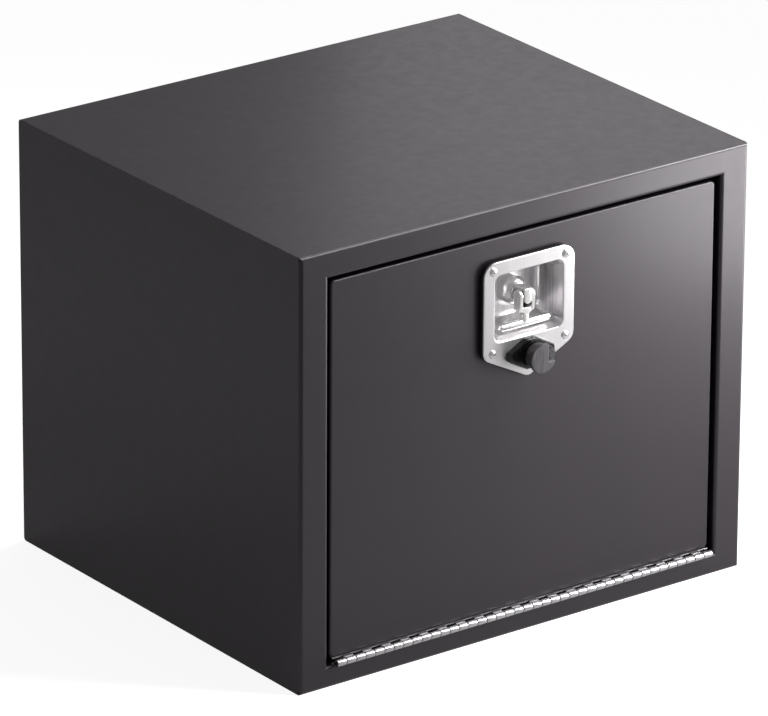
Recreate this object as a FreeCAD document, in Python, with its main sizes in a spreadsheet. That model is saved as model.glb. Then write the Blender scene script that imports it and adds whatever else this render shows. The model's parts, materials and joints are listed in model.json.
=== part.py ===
import FreeCAD, Part
import os
import re

import Sketcher

# Steel storage box with a drop-down front door, in millimetres.
# The origin is the middle of the floor under the box, +Z is up and the door faces -Y.

# Driving dimensions: each is one cell of the sheet.
SIZES = [
    # box
    ("box_width", 609.6),
    ("box_depth", 533.4),
    ("box_height", 508.0),
    ("sheet", 2.0),
    ("bend", 4.0),
    ("side_margin", 37.0),
    ("top_margin", 31.0),
    ("sill_height", 25.0),
    ("jamb_depth", 38.0),
    ("lip", 20.0),
    ("overrun", 5.0),
    # door seal
    ("seal_width", 14.0),
    ("seal_inset", 3.0),
    ("seal_round", 3.0),
    ("seal_clear", 0.3),
    # door
    ("door_gap", 5.5),
    ("door_recess", 4.0),
    ("door_depth", 24.0),
    ("door_corner", 5.0),
    ("door_bend", 2.6),
    ("liner_margin", 14.0),
    ("liner_corner", 12.0),
    # hinge
    ("knuckle_pitch", 12.7),
    ("knuckle_gap", 0.5),
    ("barrel", 8.0),
    ("leaf", 1.6),
    ("leaf_reach", 30.0),
    ("hinge_proud", 5.0),
    ("hinge_pin", 4.6),
    ("pin_play", 0.05),
    ("slot_play", 0.5),
    ("slot_reach", 10.0),
    ("hinge_rivet", 4.0),
    ("hinge_rivet_head", 6.6),
    ("hinge_rivet_rise", 1.6),
    ("hinge_rivet_pitch", 63.5),
    ("hinge_rivet_back", 20.0),
    ("rivet_play", 0.05),
    # latch tray
    ("latch_drop", 112.0),
    ("gasket", 5.0),
    ("gasket_inset", 0.8),
    ("plate", 2.0),
    ("plate_width", 124.0),
    ("plate_up", 50.0),
    ("plate_down", 60.5),
    ("point_drop", 32.0),
    ("plate_corner", 16.5),
    ("shoulder_corner", 14.0),
    ("point_corner", 9.0),
    ("plate_edge", 1.2),
    ("recess_width", 94.0),
    ("recess_up", 34.6),
    ("recess_down", 44.4),
    ("recess_depth", 35.0),
    ("recess_draft", 9.0),
    ("recess_ramp", 16.0),
    ("recess_corner", 9.0),
    ("recess_floor_round", 6.0),
    ("tray_wall", 1.5),
    ("tray_clear", 1.0),
    ("tray_rivet", 4.8),
    ("tray_rivet_head", 10.4),
    ("tray_rivet_rise", 2.4),
    ("tray_rivet_span", 99.0),
    ("tray_rivet_up", 40.0),
    ("tray_rivet_down", 55.6),
    # spindle and cam
    ("boss", 32.0),
    ("boss_rise", 14.5),
    ("boss_dome", 9.0),
    ("boss_stub", 20.0),
    ("boss_nut_across", 28.0),
    ("boss_nut", 4.5),
    ("fixing_play", 0.1),
    ("spindle", 12.0),
    ("spindle_play", 0.05),
    ("collar", 19.0),
    ("collar_length", 2.5),
    ("collar_play", 0.2),
    ("shaft_clear", 0.8),
    ("tongue", 10.5),
    ("tongue_height", 14.5),
    ("pivot_depth", 9.0),
    ("pivot_pin", 5.0),
    ("pivot_play", 0.05),
    ("cam_square", 9.0),
    ("cam", 4.0),
    ("cam_reach", 74.0),
    ("cam_width", 24.0),
    ("cam_tip_width", 16.0),
    ("cam_round", 8.0),
    ("cam_tip_round", 5.0),
    ("cam_stand", 1.0),
    ("cam_play", 0.1),
    ("cam_thread", 8.0),
    ("cam_washer", 18.0),
    ("cam_washer_thick", 1.6),
    ("cam_nut_across", 13.0),
    ("cam_nut", 6.5),
    ("thread_end", 2.0),
    ("striker", 2.0),
    ("striker_width", 60.0),
    ("striker_height", 15.0),
    # folding handle
    ("fork_play", 0.3),
    ("fork_arm", 4.5),
    ("fork_round", 7.5),
    ("fork_depth", 13.5),
    ("fork_web", 4.5),
    ("stem", 10.0),
    ("stem_thick", 8.6),
    ("handle_drop", 32.0),
    ("handle_length", 71.0),
    ("handle_bar", 8.6),
    ("handle_eye", 12.4),
    ("handle_end_round", 3.0),
    # lock
    ("lock_drop", 63.5),
    ("lock_barrel", 19.0),
    ("lock_bezel", 23.0),
    ("lock_bezel_rise", 5.0),
    ("lock_back", 19.0),
    ("lock_nut_across", 26.0),
    ("lock_nut", 4.0),
    ("lock_core", 12.0),
    ("core_play", 0.05),
    ("core_recess", 0.5),
    ("core_stud", 6.0),
    ("key_slot", 2.2),
    ("key_slot_height", 8.0),
    ("key_slot_depth", 12.0),
    ("lock_cam", 2.0),
    ("lock_cam_reach", 18.0),
    ("lock_cam_width", 13.0),
    ("lock_cam_round", 5.0),
    ("lock_screw_head", 9.0),
    ("lock_screw_rise", 2.5),
    # lock cover
    ("cover_width", 62.0),
    ("cover_height", 35.0),
    ("cover_end", 9.0),
    ("cover_top", 14.0),
    ("cover_edge", 1.5),
    ("cover_thick", 7.0),
    ("cover_corner", 4.0),
    ("neck", 27.0),
    ("neck_bore", 24.0),
    ("neck_ring", 31.0),
    ("neck_ring_length", 3.0),
    ("cap", 34.0),
    ("cap_reach", 28.0),
    ("cap_length", 15.0),
    ("cap_face", 3.0),
    ("cap_play", 0.3),
    ("cap_inner_gap", 1.0),
    ("cap_bevel", 1.0),
    ("cap_rim", 5.0),
    ("cap_skirt", 31.0),
    ("tab_inside", 5.0),
    ("tab_top", 16.0),
    ("tab_side", 18.0),
    ("tab_shoulder", 10.0),
    ("tab_low", 2.0),
    ("grip_groove", 1.2),
    ("grip_pitch", 2.6),
    ("grip_depth", 0.9),
]

# Places and counts worked out from the driving dimensions.
PLACES = [
    ("front", "-box_depth / 2"),
    ("back", "box_depth / 2"),
    ("side", "box_width / 2"),
    ("bend_inside", "bend - sheet"),
    ("opening", "side - side_margin"),
    ("opening_top", "box_height - top_margin"),
    ("jamb_back", "front + jamb_depth"),
    ("lip_front", "jamb_back - sheet"),
    ("mitre", "bend * 2"),
    ("door_face", "front + door_recess"),
    ("door_back", "door_face + door_depth"),
    ("door_side", "opening - door_gap"),
    ("door_top", "opening_top - door_gap"),
    ("door_bottom", "sill_height + barrel"),
    ("skin_back", "door_face + sheet"),
    ("door_bend_inside", "door_bend - sheet"),
    ("pin_y", "front - hinge_proud"),
    ("pin_z", "sill_height + barrel / 2"),
    ("frame_knuckles", "floor((2 * door_side / knuckle_pitch + 1) / 2)"),
    ("door_knuckles", "frame_knuckles - 1"),
    ("hinge_length", "(frame_knuckles + door_knuckles) * knuckle_pitch"),
    ("hinge_rivet_y", "pin_y + hinge_rivet_back"),
    ("door_rivets", "floor(hinge_length / hinge_rivet_pitch)"),
    ("sill_rivets", "door_rivets - 1"),
    ("spindle_z", "box_height - latch_drop"),
    ("plate_back", "door_face - gasket"),
    ("plate_front", "plate_back - plate"),
    ("floor_front", "plate_front + recess_depth"),
    ("floor_back", "floor_front + tray_wall"),
    ("cutout", "recess_width / 2 + tray_wall + tray_clear"),
    ("cutout_top", "spindle_z + recess_up + tray_wall + tray_clear"),
    ("cutout_bottom", "spindle_z - recess_down - tray_wall - tray_clear"),
    ("boss_front", "floor_front - boss_rise"),
    ("boss_end", "floor_back + boss_nut"),
    ("collar_back", "boss_front - collar_play"),
    ("collar_front", "collar_back - collar_length"),
    ("pivot_y", "plate_front + pivot_depth"),
    ("shaft_front", "pivot_y + fork_round + shaft_clear"),
    ("striker_back", "jamb_back + striker"),
    ("cam_front", "striker_back + cam_stand"),
    ("cam_back", "cam_front + cam"),
    ("cam_washer_back", "cam_back + cam_washer_thick"),
    ("cam_nut_back", "cam_washer_back + cam_nut"),
    ("spindle_end", "cam_nut_back + thread_end"),
    ("fork_half", "tongue / 2 + fork_play + fork_arm"),
    ("handle_z", "spindle_z - handle_drop"),
    ("lock_z", "spindle_z - lock_drop"),
    ("bezel_front", "plate_front - lock_bezel_rise"),
    ("lock_end", "plate_front + lock_back"),
    ("lock_cam_front", "lock_end + cam_play"),
    ("lock_cam_back", "lock_cam_front + lock_cam"),
    ("cover_front", "plate_front - cover_thick"),
    ("ring_front", "cover_front - neck_ring_length"),
    ("cap_front", "plate_front - cap_reach"),
    ("cap_back", "cap_front + cap_length"),
    ("cap_floor", "cap_front + cap_face"),
    ("neck_front", "cap_floor + cap_inner_gap"),
    ("rim_back", "cap_front + cap_rim"),
    ("grip_grooves", "floor((tab_shoulder + tab_low) / grip_pitch)"),
]

# Two places this near are the same place.
SAME_PLACE = 0.0001

# A rivet's tail and the dimple in its head, as shares of the head's diameter and rise.
TAIL_SHARE = 0.8
TAIL_RISE_SHARE = 0.6
DIMPLE_SHARE = 0.28
DIMPLE_DEPTH_SHARE = 0.5

doc = FreeCAD.newDocument("StorageBox")
sheet = doc.addObject("Spreadsheet::Sheet", "Sizes")
subparts = []


def fill_sheet():
    """Write the driving dimensions, then the places worked out from them, one aliased cell each."""
    rows = [(name, str(value)) for name, value in SIZES]
    rows += [(name, "=" + formula) for name, formula in PLACES]
    for row, (name, text) in enumerate(rows, start=1):
        sheet.set(f"A{row}", name)
        sheet.set(f"B{row}", text)
        sheet.setAlias(f"B{row}", name)
    doc.recompute()


def bound(expression):
    """The expression with every size read from the sheet."""
    return re.sub(r"[a-z][a-z_]*\b(?!\()", lambda word: "Sizes." + word.group(0), expression)


def number(expression):
    """What an expression of sizes comes to, as a plain number."""
    return float(sheet.evalExpression(bound(expression)))


def new_body(label):
    body = doc.addObject("PartDesign::Body", label)
    body.Label = label
    subparts.append(body)
    return body


def origin_feature(body, role):
    return next(feature for feature in body.Origin.OriginFeatures if feature.Role == role)


def new_sketch(body, role, shift):
    """Empty sketch on one of the body's own origin planes, its origin moved by shift."""
    sketch = body.newObject("Sketcher::SketchObject", body.Label + "_sketch")
    sketch.AttachmentSupport = [(origin_feature(body, role), "")]
    sketch.MapMode = "FlatFace"
    for key, expression in zip("xyz", shift):
        if expression != "0":
            sketch.setExpression(f"AttachmentOffset.Base.{key}", bound(expression))
    return sketch


def front_sketch(body, y, z="0"):
    """Sketch in X and Z at a depth y; it faces -Y."""
    return new_sketch(body, "XZ_Plane", ("0", z, f"-({y})"))


def side_sketch(body, z="0"):
    """Sketch in Y and Z in the middle plane; it faces +X."""
    return new_sketch(body, "YZ_Plane", ("0", z, "0"))


def top_sketch(body, z):
    """Sketch in X and Y at a height z; it faces +Z."""
    return new_sketch(body, "XY_Plane", ("0", "0", z))


def pin_point(sketch, curve, point, place):
    """Hold one point of a sketch at a place given as two expressions."""
    for kind, axis, expression in zip(("DistanceX", "DistanceY"), (-2, -1), place):
        if expression == "0":
            sketch.addConstraint(Sketcher.Constraint("PointOnObject", curve, point, axis))
        else:
            value = number(expression)
            index = sketch.addConstraint(Sketcher.Constraint(kind, -1, 1, curve, point, value))
            sketch.setExpression(f"Constraints[{index}]", bound(expression))


def polygon(sketch, places):
    """Closed outline of straight lines through places, each a pair of expressions."""
    first = sketch.GeometryCount
    points = [FreeCAD.Vector(number(a), number(b), 0) for a, b in places]
    for start, end in zip(points, points[1:] + points[:1]):
        sketch.addGeometry(Part.LineSegment(start, end))
    count = len(points)
    for index in range(count):
        follower = first + (index + 1) % count
        sketch.addConstraint(Sketcher.Constraint("Coincident", first + index, 2, follower, 1))
    for index, place in enumerate(places):
        pin_point(sketch, first + index, 1, place)
    return sketch


def rounded_rectangle(sketch, low, high, radius):
    """Rectangle from its low corner to its high one, with a quarter circle at each corner."""
    left, bottom = low
    right, top = high
    sides = [
        ((f"{left} + {radius}", bottom), (f"{right} - {radius}", bottom)),
        ((right, f"{bottom} + {radius}"), (right, f"{top} - {radius}")),
        ((f"{right} - {radius}", top), (f"{left} + {radius}", top)),
        ((left, f"{top} - {radius}"), (left, f"{bottom} + {radius}")),
    ]
    lines, ends = [], []
    for start, end in sides:
        ends.append([FreeCAD.Vector(number(a), number(b), 0) for a, b in (start, end)])
        lines.append(sketch.addGeometry(Part.LineSegment(*ends[-1])))
        pin_point(sketch, lines[-1], 1, start)
        pin_point(sketch, lines[-1], 2, end)
    for index in range(4):
        follower = (index + 1) % 4
        inwards = ends[follower][1] - ends[follower][0]
        centre = ends[index][1] + inwards.normalize() * number(radius)
        corner = quarter_arc(sketch, ends[index][1], ends[follower][0], centre)
        sketch.addConstraint(Sketcher.Constraint("Tangent", lines[index], 2, corner, 1))
        sketch.addConstraint(Sketcher.Constraint("Coincident", corner, 2, lines[follower], 1))
    return sketch


def quarter_arc(sketch, start, end, centre):
    """Quarter circle from start to end about centre; its first point is the start."""
    outwards = (start - centre) + (end - centre)
    middle = centre + outwards.normalize() * (start - centre).Length
    return sketch.addGeometry(Part.Arc(start, middle, end))


def rectangle(sketch, low, high):
    """Rectangle from its low corner to its high one."""
    return polygon(sketch, [low, (high[0], low[1]), high, (low[0], high[1])])


def circle(sketch, place, diameter):
    """Circle of a diameter about a place."""
    centre = FreeCAD.Vector(number(place[0]), number(place[1]), 0)
    upright = FreeCAD.Vector(0, 0, 1)
    curve = sketch.addGeometry(Part.Circle(centre, upright, number(diameter) / 2))
    index = sketch.addConstraint(Sketcher.Constraint("Diameter", curve, number(diameter)))
    sketch.setExpression(f"Constraints[{index}]", bound(diameter))
    pin_point(sketch, curve, 3, place)
    return sketch


def pad(body, sketch, length, backwards=False, both_ways=False):
    feature = body.newObject("PartDesign::Pad", body.Label + "_pad")
    feature.Profile = sketch
    feature.setExpression("Length", bound(length))
    feature.Reversed = backwards
    if both_ways:
        feature.SideType = "Symmetric"
    doc.recompute()
    return feature


def pocket(body, sketch, length, backwards=False, both_ways=False):
    """Cut against the sketch's facing direction, and make sure that something was cut."""
    before = body.Shape.Volume
    feature = body.newObject("PartDesign::Pocket", body.Label + "_pocket")
    feature.Profile = sketch
    feature.setExpression("Length", bound(length))
    feature.Reversed = backwards
    if both_ways:
        feature.SideType = "Symmetric"
    doc.recompute()
    if not body.Shape.Volume < before:
        raise RuntimeError(f"a cut in {body.Label} removes nothing")
    return feature


def revolve(body, sketch):
    """Full turn of a sketch about its own level axis."""
    feature = body.newObject("PartDesign::Revolution", body.Label + "_turn")
    feature.Profile = sketch
    feature.ReferenceAxis = (sketch, ["H_Axis"])
    feature.Angle = 360
    doc.recompute()
    return feature


def row_pattern(body, feature, count, length):
    """Repeat a feature along X."""
    pattern = body.newObject("PartDesign::LinearPattern", body.Label + "_row")
    pattern.Originals = [feature]
    pattern.Direction = (origin_feature(body, "X_Axis"), [""])
    pattern.setExpression("Length", bound(length))
    pattern.setExpression("Occurrences", bound(count))
    body.Tip = pattern
    doc.recompute()
    return pattern


def edges_at(shape, places):
    """Names of the edges whose ends all lie at one of the places, given as coordinates."""
    names = []
    for index, edge in enumerate(shape.Edges, start=1):
        for place in places:
            wanted = [(key, number(expression)) for key, expression in place.items()]
            gaps = [abs(getattr(v.Point, key) - value) for v in edge.Vertexes for key, value in wanted]
            if max(gaps) < SAME_PLACE:
                names.append(f"Edge{index}")
                break
    if not names:
        raise RuntimeError("no edge lies at the places asked for")
    return names


def round_edges(body, radius, places):
    """Fillet the edges at the given places."""
    base = body.Tip
    feature = body.newObject("PartDesign::Fillet", body.Label + "_round")
    feature.Base = (base, edges_at(base.Shape, places))
    feature.setExpression("Radius", bound(radius))
    doc.recompute()
    return feature


def bevel_edges(body, size, places):
    """Chamfer the edges at the given places."""
    base = body.Tip
    feature = body.newObject("PartDesign::Chamfer", body.Label + "_bevel")
    feature.Base = (base, edges_at(base.Shape, places))
    feature.setExpression("Size", bound(size))
    doc.recompute()
    return feature


def turned(body, z, profile):
    """Turn a profile of (y, radius) places about the Y axis at height z."""
    return revolve(body, polygon(side_sketch(body, z), profile))


def ring(body, z, low, high, outside, inside):
    """Turned ring from depth low to depth high, with an outside and an inside diameter."""
    inner = f"{inside} / 2"
    outer = f"{outside} / 2"
    return turned(body, z, [(low, inner), (high, inner), (high, outer), (low, outer)])


def nut(label, y, z, across, length, bore):
    """Six-sided nut with a plain bore, from depth y backwards about the axis at height z."""
    body = new_body(label)
    flat = f"{across} / 2"
    corner = f"{across} / sqrt(3)"
    half_corner = f"{corner} / 2"
    outline = [
        ("0", corner),
        (flat, half_corner),
        (flat, f"-{half_corner}"),
        ("0", f"-{corner}"),
        (f"-{flat}", f"-{half_corner}"),
        (f"-{flat}", half_corner),
    ]
    face = polygon(front_sketch(body, y, z), outline)
    circle(face, ("0", "0"), bore)
    pad(body, face, length, backwards=True)


# Box


def shell_wrap():
    """Top, back and bottom folded from one sheet, with both front rails, jambs and landing lips."""
    body = new_body("shell_wrap")
    profile = [
        ("front", "opening_top"),
        ("front", "box_height"),
        ("back", "box_height"),
        ("back", "0"),
        ("front", "0"),
        ("front", "sill_height"),
        ("lip_front", "sill_height"),
        ("lip_front", "sill_height + lip"),
        ("jamb_back", "sill_height + lip"),
        ("jamb_back", "sill_height - sheet"),
        ("front + sheet", "sill_height - sheet"),
        ("front + sheet", "sheet"),
        ("back - sheet", "sheet"),
        ("back - sheet", "box_height - sheet"),
        ("front + sheet", "box_height - sheet"),
        ("front + sheet", "opening_top + sheet"),
        ("jamb_back", "opening_top + sheet"),
        ("jamb_back", "opening_top - lip"),
        ("lip_front", "opening_top - lip"),
        ("lip_front", "opening_top"),
    ]
    pad(body, polygon(side_sketch(body), profile), "box_width", both_ways=True)
    outside = [profile[index] for index in (0, 1, 2, 3, 4, 5, 9, 16)]
    inside = [profile[index] for index in (6, 10, 11, 12, 13, 14, 15, 19)]
    round_edges(body, "bend", [{"y": y, "z": z} for y, z in outside])
    round_edges(body, "bend_inside", [{"y": y, "z": z} for y, z in inside])
    cut = front_sketch(body, "front - overrun")
    for sign in ("", "-"):
        polygon(cut, stile_outline(sign))
    pocket(body, cut, "jamb_depth + 2 * overrun")
    corners = top_sketch(body, "box_height + overrun")
    for sign in ("", "-"):
        corner_waste(corners, sign)
    pocket(body, corners, "box_height + 2 * overrun")
    rivet_holes(body, "sill_rivets", "sill_height + overrun", "sheet + 2 * overrun")


def stile_outline(sign):
    """Front outline of one stile with its lip, mitred to the rails; sign is empty or a minus."""
    def at(x, z):
        return f"{sign}({x})", z
    return [
        at("opening - lip", "opening_top - lip"),
        at("opening + mitre", "opening_top + mitre"),
        at("side", "box_height - bend"),
        at("side + overrun", "box_height - bend"),
        at("side + overrun", "bend"),
        at("side", "bend"),
        at("opening + mitre", "sill_height - mitre"),
        at("opening - lip", "sill_height + lip"),
    ]


def corner_waste(sketch, sign):
    """Plan of what a rounded front corner leaves of its square; sign is empty or a minus."""
    places = [(f"{sign}(side - bend)", "front"), (f"{sign}side", "front"), (f"{sign}side", "front + bend")]
    start, corner, end = (FreeCAD.Vector(number(x), number(y), 0) for x, y in places)
    first = sketch.addGeometry(Part.LineSegment(start, corner))
    second = sketch.addGeometry(Part.LineSegment(corner, end))
    arc = quarter_arc(sketch, start, end, start + end - corner)
    ends = (1, 2) if not sign else (2, 1)
    sketch.addConstraint(Sketcher.Constraint("Coincident", first, 2, second, 1))
    sketch.addConstraint(Sketcher.Constraint("Coincident", arc, ends[0], first, 1))
    sketch.addConstraint(Sketcher.Constraint("Coincident", arc, ends[1], second, 2))
    pin_point(sketch, first, 1, places[0])
    pin_point(sketch, first, 2, places[1])
    pin_point(sketch, second, 2, places[2])
    index = sketch.addConstraint(Sketcher.Constraint("Radius", arc, number("bend")))
    sketch.setExpression(f"Constraints[{index}]", bound("bend"))


def end_panel(label, sign):
    """Flat end with its stile, jamb and landing lip folded in; it fits inside the wrap."""
    body = new_body(label)
    def at(x, y):
        return f"{sign}({x})", y
    profile = [
        at("side", "back - sheet"),
        at("side", "front"),
        at("opening", "front"),
        at("opening", "lip_front"),
        at("opening - lip", "lip_front"),
        at("opening - lip", "jamb_back"),
        at("opening + sheet", "jamb_back"),
        at("opening + sheet", "front + sheet"),
        at("side - sheet", "front + sheet"),
        at("side - sheet", "back - sheet"),
    ]
    plan = polygon(top_sketch(body, "sheet"), profile)
    pad(body, plan, "box_height - 2 * sheet")
    round_edges(body, "bend", [{"x": x, "y": y} for x, y in (profile[i] for i in (1, 2, 6))])
    round_edges(body, "bend_inside", [{"x": x, "y": y} for x, y in (profile[i] for i in (3, 7, 8))])
    back_corners = [{"y": "back - sheet", "z": z} for z in ("sheet", "box_height - sheet")]
    round_edges(body, "bend_inside", back_corners)
    above = [
        at("opening - lip - overrun", "opening_top - lip - overrun"),
        at("opening + mitre", "opening_top + mitre"),
        at("side", "box_height - bend"),
    ]
    below = [
        at("opening - lip - overrun", "sill_height + lip + overrun"),
        at("opening + mitre", "sill_height - mitre"),
        at("side", "bend"),
    ]
    over, under = "box_height + overrun", "-overrun"
    face = front_sketch(body, "front - overrun")
    inner, outer = "opening - lip - overrun", "side + overrun"
    polygon(face, above + [at(outer, "box_height - bend"), at(outer, over), at(inner, over)])
    polygon(face, below + [at(outer, "bend"), at(outer, under), at(inner, under)])
    pocket(body, face, "overrun + bend")
    jamb = front_sketch(body, "front - overrun")
    for line, level in ((above, over), (below, under)):
        polygon(jamb, line[:2] + [at("opening + mitre", level), at(inner, level)])
    pocket(body, jamb, "jamb_depth + 2 * overrun")


def door_seal():
    """Soft ring on the landing lips; the closed door rests against its rounded front."""
    body = new_body("door_seal")
    outer = ("opening - seal_inset", "opening_top - seal_inset", "sill_height + seal_inset")
    inner = tuple(f"{place} {sign} seal_width" for place, sign in zip(outer, ("-", "-", "+")))
    face = front_sketch(body, "door_back + seal_clear")
    for side, top, bottom in (outer, inner):
        rectangle(face, (f"-({side})", bottom), (side, top))
    pad(body, face, "lip_front - door_back - seal_clear", backwards=True)
    round_edges(body, "seal_round", [{"y": "door_back + seal_clear"}])


def striker_plate():
    """Hard plate spot-welded behind the top lip, where the cam bears."""
    body = new_body("striker_plate")
    face = front_sketch(body, "jamb_back")
    bottom = "opening_top - lip"
    rectangle(face, ("-striker_width / 2", bottom), ("striker_width / 2", f"{bottom} + striker_height"))
    pad(body, face, "striker", backwards=True)


# Hinge


def hinge_leaf(label, low, slots, first_slot, rivets):
    """One leaf of the long hinge: a strip with its row of knuckles, bored for the pin.

    low is the strip's lower face, slots the number of gaps left for the other leaf's knuckles,
    first_slot the middle of the first gap from the hinge's left end, and rivets the number of holes.
    """
    body = new_body(label)
    strip = side_sketch(body)
    rectangle(strip, ("pin_y", low), ("pin_y + leaf_reach", f"{low} + leaf"))
    pad(body, strip, "hinge_length", both_ways=True)
    barrel = circle(side_sketch(body), ("pin_y", "pin_z"), "barrel")
    pad(body, barrel, "hinge_length", both_ways=True)
    bore = circle(side_sketch(body), ("pin_y", "pin_z"), "hinge_pin + 2 * pin_play")
    pocket(body, bore, "hinge_length + overrun", both_ways=True)
    gap = top_sketch(body, "door_bottom + overrun")
    middle = f"{first_slot} - hinge_length / 2"
    half = "(knuckle_pitch + knuckle_gap) / 2"
    low = (f"{middle} - {half}", "pin_y - barrel / 2 - slot_play")
    rectangle(gap, low, (f"{middle} + {half}", "pin_y + slot_reach"))
    cut = pocket(body, gap, "barrel + 2 * overrun")
    row_pattern(body, cut, slots, f"({slots} - 1) * 2 * knuckle_pitch")
    rivet_holes(body, rivets, "door_bottom + overrun", "barrel + 2 * overrun")


def rivet_holes(body, rivets, top, depth):
    """Row of upright hinge rivet holes, cut down from a height."""
    run = f"({rivets} - 1) * hinge_rivet_pitch"
    hole = circle(top_sketch(body, top), (f"-({run}) / 2", "hinge_rivet_y"), "hinge_rivet + 2 * rivet_play")
    row_pattern(body, pocket(body, hole, depth), rivets, run)


def hinge_pin():
    """Rod through every knuckle."""
    body = new_body("hinge_pin")
    rod = circle(side_sketch(body), ("pin_y", "pin_z"), "hinge_pin")
    pad(body, rod, "hinge_length", both_ways=True)


def hinge_rivets(label, rivets, seat, grip, way):
    """Row of upright rivets; way is 1 where their heads point up and -1 where they point down."""
    count = int(number(rivets))
    pitch, y, z = number("hinge_rivet_pitch"), number("hinge_rivet_y"), number(seat)
    seats = [((index - (count - 1) / 2) * pitch, y, z) for index in range(count)]
    add_rivets(label, "hinge_rivet", seats, (0, 0, way), grip)


def add_rivets(label, size, seats, way, grip):
    """Group of domed rivets: each head stands on its seat along way, its tail lies past the grip.

    The dome is a ball cut by the head's cylinder. size names the shank; the head and the rise
    of the dome are named after it.
    """
    shank, head, rise = number(size), number(size + "_head"), number(size + "_rise")
    length, up = number(grip), FreeCAD.Vector(*way)
    ball = (head * head / 4 + rise * rise) / (2 * rise)
    tail_rise = rise * TAIL_RISE_SHARE
    dimple_depth = rise * DIMPLE_DEPTH_SHARE
    solids = []
    for place in seats:
        seat = FreeCAD.Vector(*place)
        dome = Part.makeSphere(ball, seat + up * (rise - ball))
        dome = dome.common(Part.makeCylinder(head / 2, rise, seat, up))
        bottom = seat + up * (rise - dimple_depth)
        dimple = Part.makeCylinder(head * DIMPLE_SHARE / 2, rise, bottom, up)
        stem = Part.makeCylinder(shank / 2, length, seat - up * length, up)
        end = seat - up * (length + tail_rise)
        tail = Part.makeCylinder(head * TAIL_SHARE / 2, tail_rise, end, up)
        solids.append(dome.cut(dimple).fuse([stem, tail]).removeSplitter())
    group = doc.addObject("Part::Feature", label)
    group.Label = label
    group.Shape = Part.makeCompound(solids)
    subparts.append(group)


# Door


def door_skin():
    """Outer pan: a face with four returns folded back, cut out for the latch tray and the lock."""
    body = new_body("door_skin")
    face = front_sketch(body, "door_face")
    rectangle(face, ("-door_side", "door_bottom"), ("door_side", "door_top"))
    pad(body, face, "door_depth", backwards=True)
    corners = [{"x": x, "z": z} for x in ("-door_side", "door_side") for z in ("door_bottom", "door_top")]
    round_edges(body, "door_corner", corners)
    round_edges(body, "door_bend", [{"y": "door_face"}])
    hollow = front_sketch(body, "door_back")
    low = ("-(door_side - sheet)", "door_bottom + sheet")
    rounded_rectangle(hollow, low, ("door_side - sheet", "door_top - sheet"), "(door_corner - sheet)")
    pocket(body, hollow, "door_depth - sheet", backwards=True)
    round_edges(body, "door_bend_inside", [{"y": "skin_back"}])
    pocket(body, latch_holes(body), "2 * overrun + sheet")
    rivet_holes(body, "door_rivets", "door_bottom + sheet + overrun", "sheet + 2 * overrun")


def latch_holes(body):
    """Openings that the latch needs in the door: tray, lock barrel and four rivets."""
    cut = front_sketch(body, "door_face - gasket - overrun")
    rounded_rectangle(cut, ("-cutout", "cutout_bottom"), ("cutout", "cutout_top"), "recess_corner")
    circle(cut, ("0", "lock_z"), "lock_barrel + 2 * fixing_play")
    for x, z in tray_rivet_places():
        circle(cut, (x, z), "tray_rivet + 2 * rivet_play")
    return cut


def tray_rivet_places():
    """Places of the four tray rivets on the door's face."""
    heights = ("spindle_z + tray_rivet_up", "spindle_z - tray_rivet_down")
    return [(f"{sign}tray_rivet_span / 2", z) for z in heights for sign in ("-", "")]


def door_liner():
    """Flat inner panel welded inside the returns, with a service cut-out behind the latch."""
    body = new_body("door_liner")
    face = front_sketch(body, "door_back - sheet")
    low = ("-(door_side - sheet)", "door_bottom + sheet")
    rounded_rectangle(face, low, ("door_side - sheet", "door_top - sheet"), "(door_corner - sheet)")
    bottom = "lock_z - lock_cam_reach - liner_margin"
    half = "recess_width / 2 + liner_margin"
    top = "spindle_z + recess_up + liner_margin"
    rounded_rectangle(face, (f"-({half})", bottom), (half, top), "liner_corner")
    pad(body, face, "sheet", backwards=True)


# Latch


def plate_outline(body, y, inset):
    """Shield outline of the latch plate, drawn in by inset: square shoulders over a blunt point."""
    half = f"plate_width / 2 - {inset}"
    top = f"plate_up - {inset}"
    low = f"-(plate_down - {inset} / 2)"
    point = f"-(plate_down + point_drop - {inset})"
    places = [(f"-({half})", top), (half, top), (half, low), ("0", point), (f"-({half})", low)]
    return polygon(front_sketch(body, y, "spindle_z"), places)


def round_plate(body, inset):
    """Round the corners of a plate with the shield outline."""
    half = f"plate_width / 2 - {inset}"
    sides = (f"-({half})", half)
    top = f"spindle_z + plate_up - {inset}"
    low = f"spindle_z - (plate_down - {inset} / 2)"
    point = f"spindle_z - (plate_down + point_drop - {inset})"
    round_edges(body, f"plate_corner - {inset}", [{"x": x, "z": top} for x in sides])
    round_edges(body, f"shoulder_corner - {inset}", [{"x": x, "z": low} for x in sides])
    round_edges(body, f"point_corner - {inset}", [{"x": "0", "z": point}])


def dish_section(body, y, wall, draft, ramp):
    """Rounded outline of the recess at depth y, outside a wall, drawn in by draft and by a sloped bottom."""
    section = front_sketch(body, y, "spindle_z")
    half = f"(recess_width / 2 + {wall} - {draft})"
    low = (f"-{half}", f"-(recess_down + {wall} - {ramp})")
    high = (half, f"(recess_up + {wall} - {draft})")
    return rounded_rectangle(section, low, high, f"(recess_corner + {wall})")


def loft(body, kind, sections):
    """Straight-sided solid, added or taken away, through two sections."""
    feature = body.newObject(kind, body.Label + "_loft")
    feature.Profile = sections[0]
    feature.Sections = sections[1:]
    feature.Ruled = True
    doc.recompute()
    return feature


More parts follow.
